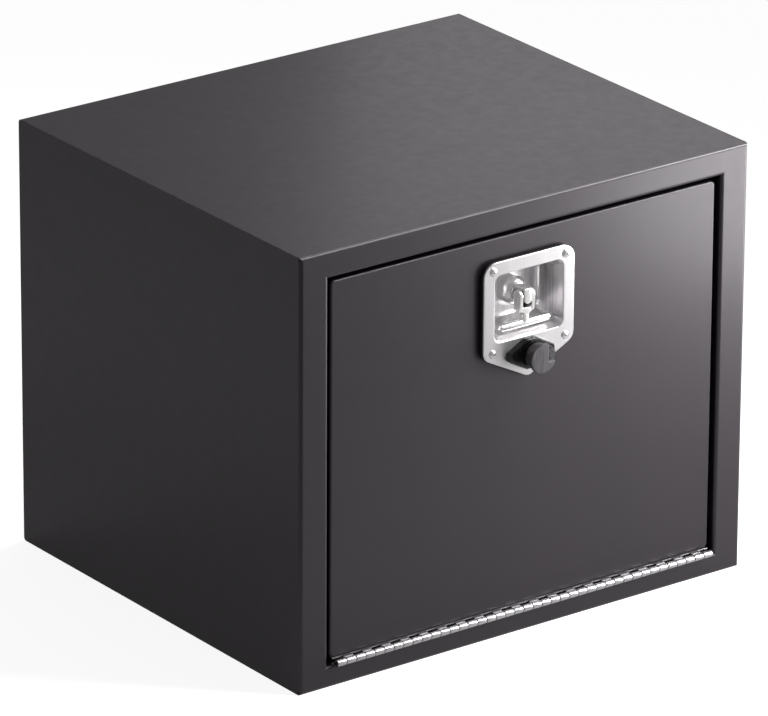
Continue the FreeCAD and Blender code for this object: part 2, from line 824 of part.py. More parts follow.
def latch_tray():
    """Pressed tray: a flat shield plate round a deep dish with drafted walls and a sloped bottom."""
    body = new_body("latch_tray")
    pad(body, plate_outline(body, "plate_front", "0"), "plate", backwards=True)
    round_plate(body, "0")
    mouth = dish_section(body, "plate_front", "tray_wall", "0", "0")
    foot = dish_section(body, "floor_back", "tray_wall", "recess_draft", "recess_ramp")
    loft(body, "PartDesign::AdditiveLoft", [mouth, foot])
    mouth = dish_section(body, "plate_front", "0", "0", "0")
    foot = dish_section(body, "floor_front", "0", "recess_draft", "recess_ramp")
    loft(body, "PartDesign::SubtractiveLoft", [mouth, foot])
    round_edges(body, "recess_floor_round", [{"y": "floor_front"}])
    round_edges(body, "recess_floor_round + tray_wall", [{"y": "floor_back"}])
    round_edges(body, "plate_edge", [{"y": "plate_front"}])
    holes = front_sketch(body, "plate_front - overrun")
    circle(holes, ("0", "lock_z"), "lock_barrel + 2 * fixing_play")
    for x, z in tray_rivet_places():
        circle(holes, (x, z), "tray_rivet + 2 * rivet_play")
    pocket(body, holes, "plate + 2 * overrun")
    stub = front_sketch(body, "floor_front - overrun")
    circle(stub, ("0", "spindle_z"), "boss_stub + 2 * fixing_play")
    pocket(body, stub, "tray_wall + 2 * overrun")


def latch_gasket():
    """Thick black gasket between the latch plate and the door."""
    body = new_body("latch_gasket")
    pad(body, plate_outline(body, "plate_back", "gasket_inset"), "gasket", backwards=True)
    round_plate(body, "gasket_inset")
    pocket(body, latch_holes(body), "gasket + 2 * overrun")


def tray_rivets():
    """Four domed rivets through plate, gasket and door skin."""
    seats = [(number(x), number("plate_front"), number(z)) for x, z in tray_rivet_places()]
    add_rivets("tray_rivets", "tray_rivet", seats, (0, -1, 0), "plate + gasket + sheet")


def spindle_boss():
    """Domed bearing on the tray's floor, with a stub through the floor for its nut."""
    body = new_body("spindle_boss")
    bore = "spindle / 2 + spindle_play"
    profile = [
        ("boss_front", bore),
        ("boss_end", bore),
        ("boss_end", "boss_stub / 2"),
        ("floor_front", "boss_stub / 2"),
        ("floor_front", "boss / 2"),
        ("boss_front", "boss / 2"),
    ]
    turned(body, "spindle_z", profile)
    round_edges(body, "boss_dome", [{"y": "boss_front", "z": "spindle_z + boss / 2"}])


def spindle():
    """Shaft with a flat tongue for the handle in front, a collar, a square for the cam and a thread."""
    body = new_body("spindle")
    profile = [
        ("shaft_front", "0"),
        ("shaft_front", "spindle / 2"),
        ("collar_front", "spindle / 2"),
        ("collar_front", "collar / 2"),
        ("collar_back", "collar / 2"),
        ("collar_back", "spindle / 2"),
        ("cam_front", "spindle / 2"),
        ("cam_front", "cam_thread / 2"),
        ("spindle_end", "cam_thread / 2"),
        ("spindle_end", "0"),
    ]
    turned(body, "spindle_z", profile)
    half = "tongue_height / 2"
    flat = rectangle(side_sketch(body, "spindle_z"), ("pivot_y", f"-{half}"), ("collar_front", half))
    pad(body, flat, "tongue", both_ways=True)
    nose = circle(side_sketch(body), ("pivot_y", "spindle_z"), "tongue_height")
    pad(body, nose, "tongue", both_ways=True)
    hole = circle(side_sketch(body), ("pivot_y", "spindle_z"), "pivot_pin + 2 * pivot_play")
    pocket(body, hole, "tongue + overrun", both_ways=True)
    corner = "cam_square / 2"
    square = front_sketch(body, "cam_front", "spindle_z")
    rectangle(square, (f"-{corner}", f"-{corner}"), (corner, corner))
    pad(body, square, "cam", backwards=True)


def latch_cam():
    """Flat cam on the spindle's square, lying sideways while the latch is released."""
    body = new_body("latch_cam")
    hub, tip = "cam_width / 2", "cam_tip_width / 2"
    outline = [
        (f"-{hub}", f"-{hub}"),
        (hub, f"-{hub}"),
        ("cam_reach", f"-{tip}"),
        ("cam_reach", tip),
        (hub, hub),
        (f"-{hub}", hub),
    ]
    face = polygon(front_sketch(body, "cam_front", "spindle_z"), outline)
    corner = "(cam_square / 2 + cam_play)"
    rectangle(face, (f"-{corner}", f"-{corner}"), (corner, corner))
    pad(body, face, "cam", backwards=True)
    sides = ("spindle_z + ", "spindle_z - ")
    round_edges(body, "cam_round", [{"x": f"-{hub}", "z": side + hub} for side in sides])
    round_edges(body, "cam_tip_round", [{"x": "cam_reach", "z": side + tip} for side in sides])


def cam_fixings():
    """Spring washer in front of the cam, and the washer and nut behind it."""
    bore = "cam_thread + 2 * cam_play"
    spring = ("boss_end + cam_play", "cam_front", "boss_stub", "(spindle + 2 * cam_play)")
    ring(new_body("spring_washer"), "spindle_z", *spring)
    flat = ("cam_back", "cam_washer_back", "cam_washer", f"({bore})")
    ring(new_body("cam_washer"), "spindle_z", *flat)
    nut("cam_nut", "cam_washer_back", "spindle_z", "cam_nut_across", "cam_nut", bore)


# Folding handle


def handle_stem():
    """Fork round the spindle's tongue, carried down to an eye that holds the cross bar."""
    body = new_body("handle_stem")
    ears = circle(side_sketch(body), ("pivot_y", "spindle_z"), "2 * fork_round")
    pad(body, ears, "2 * fork_half", both_ways=True)
    cheeks = side_sketch(body, "spindle_z")
    rectangle(cheeks, ("pivot_y - fork_round", "-(fork_depth + fork_web)"), ("pivot_y + fork_round", "0"))
    pad(body, cheeks, "2 * fork_half", both_ways=True)
    shank = front_sketch(body, "pivot_y - stem_thick / 2", "spindle_z")
    rectangle(shank, ("-stem / 2", "-handle_drop"), ("stem / 2", "-fork_depth"))
    pad(body, shank, "stem_thick", backwards=True)
    eye = circle(side_sketch(body), ("pivot_y", "handle_z"), "handle_eye")
    pad(body, eye, "stem", both_ways=True)
    slot = front_sketch(body, "pivot_y - fork_round - overrun", "spindle_z")
    half = "(tongue / 2 + fork_play)"
    rectangle(slot, (f"-{half}", "-fork_depth"), (half, "fork_round + overrun"))
    pocket(body, slot, "2 * fork_round + 2 * overrun")
    pivot = circle(side_sketch(body), ("pivot_y", "spindle_z"), "pivot_pin + 2 * pivot_play")
    pocket(body, pivot, "2 * fork_half + overrun", both_ways=True)
    bore = circle(side_sketch(body), ("pivot_y", "handle_z"), "handle_bar + 2 * fixing_play")
    pocket(body, bore, "stem + overrun", both_ways=True)


def handle_bar():
    """Cross bar that the hand pulls, with rounded ends."""
    body = new_body("handle_bar")
    rod = circle(side_sketch(body), ("pivot_y", "handle_z"), "handle_bar")
    pad(body, rod, "handle_length", both_ways=True)
    round_edges(body, "handle_end_round", [{"x": f"{sign}handle_length / 2"} for sign in ("-", "")])


def handle_pin():
    """Pivot pin of the folding handle."""
    body = new_body("handle_pin")
    rod = circle(side_sketch(body), ("pivot_y", "spindle_z"), "pivot_pin")
    pad(body, rod, "2 * fork_half", both_ways=True)


# Lock


def lock_cylinder():
    """Lock body with a bezel on the plate and a bore for its core."""
    body = new_body("lock_cylinder")
    bore = "lock_core / 2 + core_play"
    profile = [
        ("bezel_front", bore),
        ("lock_end", bore),
        ("lock_end", "lock_barrel / 2"),
        ("plate_front", "lock_barrel / 2"),
        ("plate_front", "lock_bezel / 2"),
        ("bezel_front", "lock_bezel / 2"),
    ]
    turned(body, "lock_z", profile)


def lock_core():
    """Turning core with its key slot, and a stud at the back for the lock's cam."""
    body = new_body("lock_core")
    face = "bezel_front + core_recess"
    profile = [
        (face, "0"),
        (face, "lock_core / 2"),
        ("lock_cam_front", "lock_core / 2"),
        ("lock_cam_front", "core_stud / 2"),
        ("lock_cam_back", "core_stud / 2"),
        ("lock_cam_back", "0"),
    ]
    turned(body, "lock_z", profile)
    slot = front_sketch(body, f"{face} - overrun", "lock_z")
    half, tall = "key_slot / 2", "key_slot_height / 2"
    rectangle(slot, (f"-{half}", f"-{tall}"), (half, tall))
    pocket(body, slot, "key_slot_depth + overrun")


def lock_cam():
    """Tail on the back of the lock's core."""
    body = new_body("lock_cam")
    face = front_sketch(body, "lock_cam_front", "lock_z")
    half = "lock_cam_width / 2"
    rounded_rectangle(face, (f"-{half}", f"-{half}"), ("lock_cam_reach", half), "lock_cam_round")
    circle(face, ("0", "0"), "core_stud + 2 * cam_play")
    pad(body, face, "lock_cam", backwards=True)


def lock_screw():
    """Screw that holds the lock's cam on its core."""
    body = new_body("lock_screw")
    head = circle(front_sketch(body, "lock_cam_back"), ("0", "lock_z"), "lock_screw_head")
    pad(body, head, "lock_screw_rise", backwards=True)
    slot = front_sketch(body, "lock_cam_back + lock_screw_rise / 2", "lock_z")
    half = "lock_screw_head / 2"
    rectangle(slot, (f"-{half}", "-key_slot / 4"), (half, "key_slot / 4"))
    pocket(body, slot, "lock_screw_rise")


def lock_cover():
    """Black cover base on the plate: a six-cornered flange with a stepped neck round the lock."""
    body = new_body("lock_cover")
    wide, tall, end, top = "cover_width / 2", "cover_height / 2", "cover_end / 2", "cover_top / 2"
    upper = [(wide, end), (top, tall), (f"-{top}", tall), (f"-{wide}", end)]
    lower = [(f"-{wide}", f"-{end}"), (f"-{top}", f"-{tall}"), (top, f"-{tall}"), (wide, f"-{end}")]
    pad(body, polygon(front_sketch(body, "plate_front", "lock_z"), upper + lower), "cover_thick")
    corners = [{"x": x, "z": f"lock_z + {z}"} for x, z in upper + lower]
    round_edges(body, "cover_corner", corners)
    round_edges(body, "cover_edge", [{"y": "cover_front"}])
    neck = [
        ("cover_front + cover_edge", "neck_bore / 2"),
        ("cover_front + cover_edge", "neck_ring / 2"),
        ("ring_front", "neck_ring / 2"),
        ("ring_front", "neck / 2"),
        ("neck_front", "neck / 2"),
        ("neck_front", "neck_bore / 2"),
    ]
    turned(body, "lock_z", neck)
    bore = circle(front_sketch(body, "cover_front - overrun"), ("0", "lock_z"), "neck_bore")
    pocket(body, bore, "cover_thick + 2 * overrun")


def lock_cap():
    """Push-on cap over the neck: a round face with a ribbed thumb tab, on a narrower skirt."""
    body = new_body("lock_cap")
    bore = "neck / 2 + cap_play"
    profile = [
        ("cap_front", "0"),
        ("cap_front", "cap / 2"),
        ("rim_back", "cap / 2"),
        ("rim_back", "cap_skirt / 2"),
        ("cap_back", "cap_skirt / 2"),
        ("cap_back", bore),
        ("cap_floor", bore),
        ("cap_floor", "0"),
    ]
    turned(body, "lock_z", profile)
    bevel_edges(body, "cap_bevel", [{"y": "cap_front", "z": "lock_z + cap / 2"}])
    tab = [
        ("tab_inside", "-tab_low"),
        ("tab_side", "-tab_low"),
        ("tab_side", "tab_shoulder"),
        ("tab_inside", "tab_top"),
    ]
    pad(body, polygon(front_sketch(body, "cap_floor", "lock_z"), tab), "cap_face")
    grooves = front_sketch(body, "cap_front - overrun", "lock_z")
    for index in range(int(number("grip_grooves"))):
        low = f"({index} * grip_pitch + grip_groove - tab_low)"
        rectangle(grooves, ("tab_inside + grip_pitch", low), ("tab_side + overrun", f"{low} + grip_groove"))
    pocket(body, grooves, "grip_depth + overrun")


def build():
    """Every sub-part, from the box inwards."""
    fill_sheet()
    shell_wrap()
    end_panel("end_panel_left", "-")
    end_panel("end_panel_right", "")
    door_seal()
    striker_plate()
    door_leaf = "door_bottom - leaf"
    hinge_leaf("hinge_frame_leaf", "sill_height", "door_knuckles", "1.5 * knuckle_pitch", "sill_rivets")
    hinge_leaf("hinge_door_leaf", door_leaf, "frame_knuckles", "knuckle_pitch / 2", "door_rivets")
    hinge_pin()
    hinge_rivets("hinge_sill_rivets", "sill_rivets", "sill_height + leaf", "leaf + sheet", 1)
    hinge_rivets("hinge_door_rivets", "door_rivets", door_leaf, "leaf + sheet", -1)
    door_skin()
    door_liner()
    latch_tray()
    latch_gasket()
    tray_rivets()
    spindle_boss()
    stub = "boss_stub + 2 * fixing_play"
    nut("boss_nut", "floor_back", "spindle_z", "boss_nut_across", "boss_nut", stub)
    spindle()
    latch_cam()
    cam_fixings()
    handle_stem()
    handle_bar()
    handle_pin()
    lock_cylinder()
    barrel = "lock_barrel + 2 * fixing_play"
    nut("lock_nut", "skin_back", "lock_z", "lock_nut_across", "lock_nut", barrel)
    lock_core()
    lock_cam()
    lock_screw()
    lock_cover()
    lock_cap()


def check_and_write():
    """Stop on any failed object, then write each sub-part under its own name."""
    doc.recompute()
    for item in doc.Objects:
        if "Invalid" in item.State or "Error" in item.State:
            raise RuntimeError(f"{item.Label} failed: {item.State}")
    for item in subparts:
        if item.Shape.isNull() or not item.Shape.isValid():
            raise RuntimeError(f"{item.Label} has no valid shape")
    os.makedirs("parts", exist_ok=True)
    for item in subparts:
        item.Shape.exportStep(f"parts/{item.Label}.step")
        print(item.Label, len(item.Shape.Solids), round(item.Shape.Volume))


build()
check_and_write()
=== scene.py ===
import json
import math

import bpy
import numpy as np
from mathutils import Matrix, Vector


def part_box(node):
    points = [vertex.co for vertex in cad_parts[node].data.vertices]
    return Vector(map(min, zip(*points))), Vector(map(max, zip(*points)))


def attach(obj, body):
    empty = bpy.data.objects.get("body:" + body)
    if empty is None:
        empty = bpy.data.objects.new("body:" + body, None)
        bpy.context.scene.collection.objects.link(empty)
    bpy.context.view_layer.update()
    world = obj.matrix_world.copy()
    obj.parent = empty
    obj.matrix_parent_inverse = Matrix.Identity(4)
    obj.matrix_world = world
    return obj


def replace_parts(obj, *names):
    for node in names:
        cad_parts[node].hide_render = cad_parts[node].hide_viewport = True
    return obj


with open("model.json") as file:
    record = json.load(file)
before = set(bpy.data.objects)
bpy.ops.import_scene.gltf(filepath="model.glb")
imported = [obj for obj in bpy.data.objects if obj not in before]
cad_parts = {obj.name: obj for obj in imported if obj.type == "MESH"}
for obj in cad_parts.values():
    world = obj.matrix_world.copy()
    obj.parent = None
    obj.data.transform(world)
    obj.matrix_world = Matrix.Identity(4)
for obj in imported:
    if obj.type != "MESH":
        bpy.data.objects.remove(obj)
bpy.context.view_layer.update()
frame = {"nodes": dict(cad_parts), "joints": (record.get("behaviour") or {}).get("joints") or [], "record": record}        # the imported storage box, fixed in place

MM = 0.001
NODES = frame["nodes"]
JOINTS = {joint["name"]: joint for joint in frame["joints"]}


def corners_mm(node):
    """Lowest and highest corner of a solid, in millimetres."""
    return tuple(np.array(corner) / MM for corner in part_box(node))


def place_mm(joint):
    """Where a joint's axis lies, in millimetres."""
    return np.array(JOINTS[joint]["pos_m"]) / MM


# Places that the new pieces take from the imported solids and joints. Sizes are in millimetres and angles
# in degrees, unless a comment says otherwise.
BOX_LOW, BOX_HIGH = corners_mm("shell_wrap")
LINER_LOW, LINER_HIGH = corners_mm("door_liner")
SEAL_LOW, SEAL_HIGH = corners_mm("door_seal")
PLATE_HIGH = corners_mm("latch_tray")[1]
PIVOT = place_mm("handle_fold")
LOCK_Z = place_mm("lock_turn")[2]
HINGE = place_mm("door_hinge")

# Camera fitted to the box's corners in the photograph; its focal length and the photograph's width are
# in pixels, and the reach of its view is in metres.
PHOTO_WIDTH = 768
FOCAL_PIXELS = 7867.0
CAMERA_PLACE = (-4870.0, -6563.0, 3506.0)
CAMERA_YAW = -36.6
CAMERA_PITCH = 21.8
CAMERA_ROLL = 0.3
SENSOR_WIDTH = 36.0
VIEW_REACH = 100.0

# Studio: the world's light, the floor's own glow, how much of the white surroundings a reflection shows,
# and half the floor's side in metres.
AMBIENT = 0.24
FLOOR_GLOW = 0.85
MIRRORED_SHARE = 0.26
FLOOR_REACH = 9.0

# Softboxes: place, target, width and height in metres, brightness of the face, and spread in degrees.
# The edge one is small and narrow, and draws the light line along the top bend and the door's top edge.
SOFTBOXES = {
    "right_softbox": ((0.98, -0.78, 0.32), (0.25, -0.27, 0.40), (0.7, 0.6), 18.5, 110),
    "top_softbox": ((1.16, -1.27, 1.83), (0.12, -0.26, 0.52), (0.8, 1.3), 25.0, 50),
    "edge_softbox": ((0.78, -0.74, 0.97), (0.32, -0.265, 0.5), (0.3, 0.3), 54.0, 28),
    "overhead_softbox": ((1.1, 0.25, 2.05), (0.0, -0.2, 0.5), (0.9, 0.9), 8.0, 60),
    "back_softbox": ((1.5, 1.3, 1.2), (0.1, 0.0, 0.5), (1.0, 0.8), 1.15, 110),
}

# Shared by several shapes: the angles past which an edge is shaded sharp, steps along a round corner, how
# far a radius stays under a full half round so that its arcs don't meet, how nearly a round end closes,
# and the eased edges of a flat bar.
CREASE = 35.0
WELD_CREASE = 80.0
ARC_STEPS = 9
ARC_SLACK = 0.2
BLUNT_SHARE = 0.98
SLAB_EDGE = 0.3
SLAB_EDGE_STEPS = 3

# Door seal: a bulb with a flat foot on the landing lip; its waist is a share of the foot's width.
SEAL_WIDTH = 14.0
SEAL_CORNER = 16.0
SEAL_WAIST = 0.78
SEAL_FULLNESS = 0.7
SEAL_STEPS = 19

# Latch plate's shield outline below the handle's pivot, as the gasket behind it follows it.
PLATE_SHOULDER = 60.5
PLATE_POINT = 92.5
PLATE_ROUNDS = (16.5, 16.5, 14.0, 9.0, 14.0)
GASKET_INSET = 0.8
GASKET_BULGE = 0.5
GASKET_RING = 6.0
GASKET_STEPS = 9

# Latch dish, as the painted light and shade in the stainless finish follow it: the depth where the sheet is
# fully drawn, half the width of the floor, and the bend from there to the side walls.
DRAW_DEPTH = 8.0
DISH_FLOOR_HALF = 36.0
DISH_FLOOR_ROUND = 4.0

# Handle's fork: two ears about the pivot, with a slot between them that a dark web closes at the back; the
# web and its dark finish are painted shade in the slot's pocket.
EAR_INSIDE, EAR_OUTSIDE, EAR_ROUND = 6.0, 10.05, 7.5
EAR_FOOT_HALF, EAR_FOOT_ROUND = 5.4, 1.5
EAR_RIM, EAR_RIM_STEPS = 0.7, 5
FORK_SLOT, FORK_FOOT = 13.5, 18.0
SLOT_ROUND, SLOT_DEEP, SLOT_STEPS = 5.8, 4.9, 9
SLOT_OVERLAP = 0.6
POCKET_BACK = (3.4, 5.2)
POCKET_TOP = 9.4
POCKET_OVERLAP = 0.8

# Handle's shank, half widths and half depths; the neck and the flare lie at shares of its length.
WEB_DEEP = 5.1
STEM_HALF, STEM_DEEP = 4.7, 4.3
NECK_START, NECK_LENGTH = 0.22, 0.2
FLARE_START = 0.72
BAR_FLARE = 2.5
SHANK_POWER = 0.6
SHANK_GRID = (25, 48)

# Handle's cross bar, and the grid on which the casting's shells are fused.
BAR_DROP, BAR_HALF, BAR_THICK, BAR_TIP = 32.0, 35.5, 4.7, 4.1
BAR_GRID = (65, 40)
MELT_CELL = 0.36
MELT_PASSES = 4

# Spindle's nose, from the handle's pivot.
TONGUE_HALF = 5.4
TONGUE_TOP, TONGUE_FOOT = 9.4, 8.4
TONGUE_FRONT, TONGUE_BACK = -7.7, 9.0
TONGUE_SHOULDER = 1.2
TONGUE_EDGE, TONGUE_EDGE_STEPS = 0.9, 6

# Lock cap: a round face on a narrower, stepped skirt. The bevel starts at an angle in radians, and the
# face's flat middle is a share of its radius. A step of the skirt has a nick and a lead in front of it,
# and a tail that runs down to the next step.
CAP_SET_BACK = 0.1
CAP_RADIUS = 17.0
CAP_MIDDLE, CAP_FACE_STEPS = 0.01, 40
CAP_DOME = 0.5
CAP_BEVEL, CAP_BEVEL_START, CAP_BEVEL_STEPS = 1.0, 0.2, 6
CAP_RIM, CAP_RIM_EDGE = 5.0, 0.5
CAP_SKIRT = 15.5
SKIRT_STEPS = 3
STEP_IN, STEP_NICK, STEP_LEAD, STEP_TAIL = 0.6, 0.2, 0.3, 0.4
CAP_BORE, CAP_BORE_EDGE, CAP_BORE_MIDDLE = 13.8, 0.4, 0.3
CAP_FACE_THICK = 3.0
CAP_SIDES = 144

# Thumb grip: the cap's right side, sunk by a slope, with ribs standing in it.
GRIP_START = 6.5
GRIP_SLOPE = 1.2
GRIP_SINK = 1.5
GRIP_MARGIN = 3.6
GRIP_RIBS = 7
GRIP_LOW, GRIP_HIGH = -2.6, 12.4
RIB_HALF, RIB_RISE, RIB_LIFT, RIB_INSET = 0.65, 0.845, 0.1, 0.2
RIB_END_POWER = 8
RIB_GRID = (15, 14)

# Hinge: rolled knuckles with eased ends, and the leaves behind them.
KNUCKLE_PITCH = 12.7
KNUCKLE_GAP = 1.05
KNUCKLE_ROUND, KNUCKLE_ROUND_STEPS = 0.3, 6
KNUCKLE_SIDES = 40
BARREL_RADIUS = 4.0
PIN_RADIUS = 2.3
LEAF_THICK = 1.6
LEAF_REACH = 30.0
LEAF_OVERLAP = 0.5
SLOT_REACH = 6.8

# Weld beads along the ends' seams, ground nearly flush. A ripple is a share of the radius, its rate
# against the welder's pitch, and its phase in radians. No seam runs along the skew direction.
BEAD_RADIUS = 1.1
BEAD_SINK = 1.1
BEAD_PITCH = 5.5
BEAD_RIPPLES = ((0.10, 1.0, 0.0), (0.13, 0.31, 1.0), (0.12, 0.117, 2.0))
BEAD_STEP = 1.4
BEAD_SIDES = 10
BEAD_FRONT = 4.0
BEAD_STOP = 3.0
BEAD_LIFT = 0.4
SKEW = (0.3, 0.5, 0.8)

# Plug welds that hold the liner in the door pan; the flat middle is a share of the radius.
PLUG_RADIUS = 5.0
PLUG_RISE = 0.5
PLUG_ROOT = 0.4
PLUG_MIDDLE = 0.06
PLUG_INSET = 9.0
PLUGS_ACROSS, PLUG_SIDE_MARGIN = 6, 45.0
PLUGS_UP, PLUG_END_MARGIN = 4, 70.0
PLUG_GRID = (7, 20)

# Sockets of the Mix node when it mixes colours: the share, both colours, and the result.
MIX_SHARE, MIX_FIRST, MIX_SECOND, MIXED = 0, 6, 7, 2


def linear(hex_colour):
    """An sRGB hex colour as linear red, green, blue and alpha."""
    parts = np.array([int(hex_colour[i:i + 2], 16) for i in (1, 3, 5)]) / 255
    curved = np.where(parts <= 0.04045, parts / 12.92, ((parts + 0.055) / 1.055) ** 2.4)
    return (*curved.tolist(), 1.0)


def add(tree, kind, inputs=None, **settings):
    """Add a shader node with its settings; inputs are values or other nodes' outputs."""
    made = tree.nodes.new("ShaderNode" + kind)
    for name, value in settings.items():
        setattr(made, name, value)
    for name, value in (inputs or {}).items():
        if isinstance(value, bpy.types.NodeSocket):
            tree.links.new(value, made.inputs[name])
        else:
            made.inputs[name].default_value = value
    return made


def start_finish(name):
    """A new material: its tree, its shader and its object coordinates in metres."""
    made = bpy.data.materials.new(name)
    made.use_nodes = True
    tree = made.node_tree
    tree.nodes.clear()
    shader = add(tree, "BsdfPrincipled")
    add(tree, "OutputMaterial", {"Surface": shader.outputs["BSDF"]})
    place = add(tree, "TexCoord").outputs["Object"]
    return made, tree, shader, place


def per_mm(size):
    """Noise scale that gives features of a size in millimetres."""
    return 1 / (size * MM)


def powder_coat():
    """Polyester powder coat baked on steel sheet: a smooth satin black with faint orange peel and a thin
    glossier skin, whose sheen drifts in clouds where the film is thicker."""
    made, tree, shader, place = start_finish("satin_black_powder_coat")
    drift = add(tree, "TexNoise", {"Vector": place, "Scale": per_mm(90), "Detail": 3.0})
    # film clouds, drawn coarser than the real few millimetres so that they show
    cloud = add(tree, "TexNoise", {"Vector": place, "Scale": per_mm(14), "Detail": 5.0, "Roughness": 0.65})
    blend = add(tree, "Mix", {MIX_SHARE: drift.outputs["Fac"], MIX_FIRST: linear("#171417"),
                              MIX_SECOND: linear("#1d191d")}, data_type="RGBA")
    tree.links.new(blend.outputs[MIXED], shader.inputs["Base Color"])
    sheen = add(tree, "MapRange", {"Value": cloud.outputs["Fac"], "From Min": 0.3, "From Max": 0.7,
                                   "To Min": 0.37, "To Max": 0.45})
    tree.links.new(sheen.outputs[0], shader.inputs["Roughness"])
    peel = add(tree, "TexNoise", {"Vector": place, "Scale": per_mm(2.5), "Detail": 2.0})
    bump = add(tree, "Bump", {"Height": peel.outputs["Fac"], "Strength": 0.06, "Distance": 0.2 * MM})
    tree.links.new(bump.outputs[0], shader.inputs["Normal"])
    shader.inputs["Specular IOR Level"].default_value = 0.3
    shader.inputs["Coat Weight"].default_value = 0.25
    shader.inputs["Coat Tint"].default_value = (1.0, 0.8, 1.0, 1.0)
    shader.inputs["Coat Roughness"].default_value = 0.22
    return made


def stainless(name, tones, painted_recess_tone, painted_wall_shade_tone, smooth, dull, grain_size, metallic):
    """Rolled and polished stainless sheet: fine grain drawn out along the rolling direction between two
    tones. Behind the front plane a third tone is painted in streaks that follow the grain: painted light
    where the sheet is deep drawn in the latch's dish, and painted shade behind the hinge's knuckles. Past
    the dish floor's width in X a fourth, darker tone paints the side walls' shade and dark reflections. It
    isn't fully metallic, for the light that its grain scatters. grain_size is in millimetres along X, Y and
    Z, drawn coarser than real so that it shows."""
    made, tree, shader, place = start_finish(name)
    stretch = add(tree, "Mapping", {"Vector": place, "Scale": [per_mm(size) for size in grain_size]})
    grain = add(tree, "TexNoise", {"Vector": stretch.outputs[0], "Scale": 1.0, "Detail": 3.0})
    sheen = add(tree, "MapRange", {"Value": grain.outputs["Fac"], "From Min": 0.3, "From Max": 0.7,
                                   "To Min": smooth, "To Max": dull})
    tree.links.new(sheen.outputs[0], shader.inputs["Roughness"])
    tone = add(tree, "Mix", {MIX_SHARE: grain.outputs["Fac"], MIX_FIRST: linear(tones[0]),
                             MIX_SECOND: linear(tones[1])}, data_type="RGBA")
    apart = add(tree, "SeparateXYZ", {"Vector": place})
    # painted light and shade: behind the front plane the recess tone is mixed in, streaked by the grain
    drawn = add(tree, "MapRange", {"Value": apart.outputs["Y"], "From Min": BOX_LOW[1] * MM,
                                   "From Max": (BOX_LOW[1] + DRAW_DEPTH) * MM})
    painted_streak = add(tree, "MapRange", {"Value": grain.outputs["Fac"], "From Min": 0.35, "From Max": 0.6,
                                    "To Min": 0.4, "To Max": 1.0})
    share = add(tree, "Math", {0: drawn.outputs[0], 1: painted_streak.outputs[0]}, operation="MULTIPLY")
    painted_recess = add(tree, "Mix", {MIX_SHARE: share.outputs[0], MIX_FIRST: tone.outputs[MIXED],
                                MIX_SECOND: linear(painted_recess_tone)}, data_type="RGBA")
    # painted shade: past the dish floor's width in X the walls take a darker tone for their shade and dark
    # reflections
    across = add(tree, "Math", {0: apart.outputs["X"]}, operation="ABSOLUTE")
    beside = add(tree, "MapRange", {"Value": across.outputs[0], "From Min": DISH_FLOOR_HALF * MM,
                                    "From Max": (DISH_FLOOR_HALF + DISH_FLOOR_ROUND) * MM})
    painted_wall_shade_share = add(tree, "Math", {0: share.outputs[0], 1: beside.outputs[0]}, operation="MULTIPLY")
    painted_wall_shade = add(tree, "Mix", {MIX_SHARE: painted_wall_shade_share.outputs[0], MIX_FIRST: painted_recess.outputs[MIXED],
                              MIX_SECOND: linear(painted_wall_shade_tone)}, data_type="RGBA")
    tree.links.new(painted_wall_shade.outputs[MIXED], shader.inputs["Base Color"])
    shader.inputs["Metallic"].default_value = metallic
    return made


def pin_wire_and_pocket_shade():
    """Drawn pin wire in the hinge: dull steel, dark and spotted with old grease and dust. The same dark
    finish on the handle's pocket web is painted shade.
    """
    made, tree, shader, place = start_finish("greased_pin_and_painted_pocket_shade")
    dust = add(tree, "TexNoise", {"Vector": place, "Scale": per_mm(3), "Detail": 3.0})
    blend = add(tree, "Mix", {MIX_SHARE: dust.outputs["Fac"], MIX_FIRST: linear("#1d1a18"),
                              MIX_SECOND: linear("#3a3734")}, data_type="RGBA")
    tree.links.new(blend.outputs[MIXED], shader.inputs["Base Color"])
    shader.inputs["Metallic"].default_value = 0.6
    shader.inputs["Roughness"].default_value = 0.55
    return made


def cast_steel():
    """Tumbled stainless casting: bright, with soft dimples left by the mould."""
    made, tree, shader, place = start_finish("tumbled_cast_steel")
    # dimples, drawn coarser than the mould's real grit so that they show
    dimple = add(tree, "TexNoise", {"Vector": place, "Scale": per_mm(2.2), "Detail": 3.0})
    sheen = add(tree, "MapRange", {"Value": dimple.outputs["Fac"], "To Min": 0.18, "To Max": 0.3})
    tree.links.new(sheen.outputs[0], shader.inputs["Roughness"])
    bump = add(tree, "Bump", {"Height": dimple.outputs["Fac"], "Strength": 0.15, "Distance": 0.1 * MM})
    tree.links.new(bump.outputs[0], shader.inputs["Normal"])
    shader.inputs["Base Color"].default_value = linear("#d6d5d4")
    shader.inputs["Metallic"].default_value = 0.85
    return made


def zinc_plate():
    """Bright zinc plate on steel: bluish, cloudy, with a low gloss."""
    made, tree, shader, place = start_finish("bright_zinc_plate")
    cloud = add(tree, "TexNoise", {"Vector": place, "Scale": per_mm(4), "Detail": 4.0})
    blend = add(tree, "Mix", {MIX_SHARE: cloud.outputs["Fac"], MIX_FIRST: linear("#aeb2b6"),
                              MIX_SECOND: linear("#c9cbca")}, data_type="RGBA")
    tree.links.new(blend.outputs[MIXED], shader.inputs["Base Color"])
    sheen = add(tree, "MapRange", {"Value": cloud.outputs["Fac"], "To Min": 0.28, "To Max": 0.42})
    tree.links.new(sheen.outputs[0], shader.inputs["Roughness"])
    shader.inputs["Metallic"].default_value = 1.0
    return made


def chrome_plate():
    """Chrome plate on a zinc casting: mirror bright, with faint haze."""
    made, tree, shader, place = start_finish("chrome_plate")
    haze = add(tree, "TexNoise", {"Vector": place, "Scale": per_mm(6), "Detail": 2.0})
    sheen = add(tree, "MapRange", {"Value": haze.outputs["Fac"], "To Min": 0.06, "To Max": 0.14})
    tree.links.new(sheen.outputs[0], shader.inputs["Roughness"])
    shader.inputs["Base Color"].default_value = linear("#d4d5d6")
    shader.inputs["Metallic"].default_value = 1.0
    return made


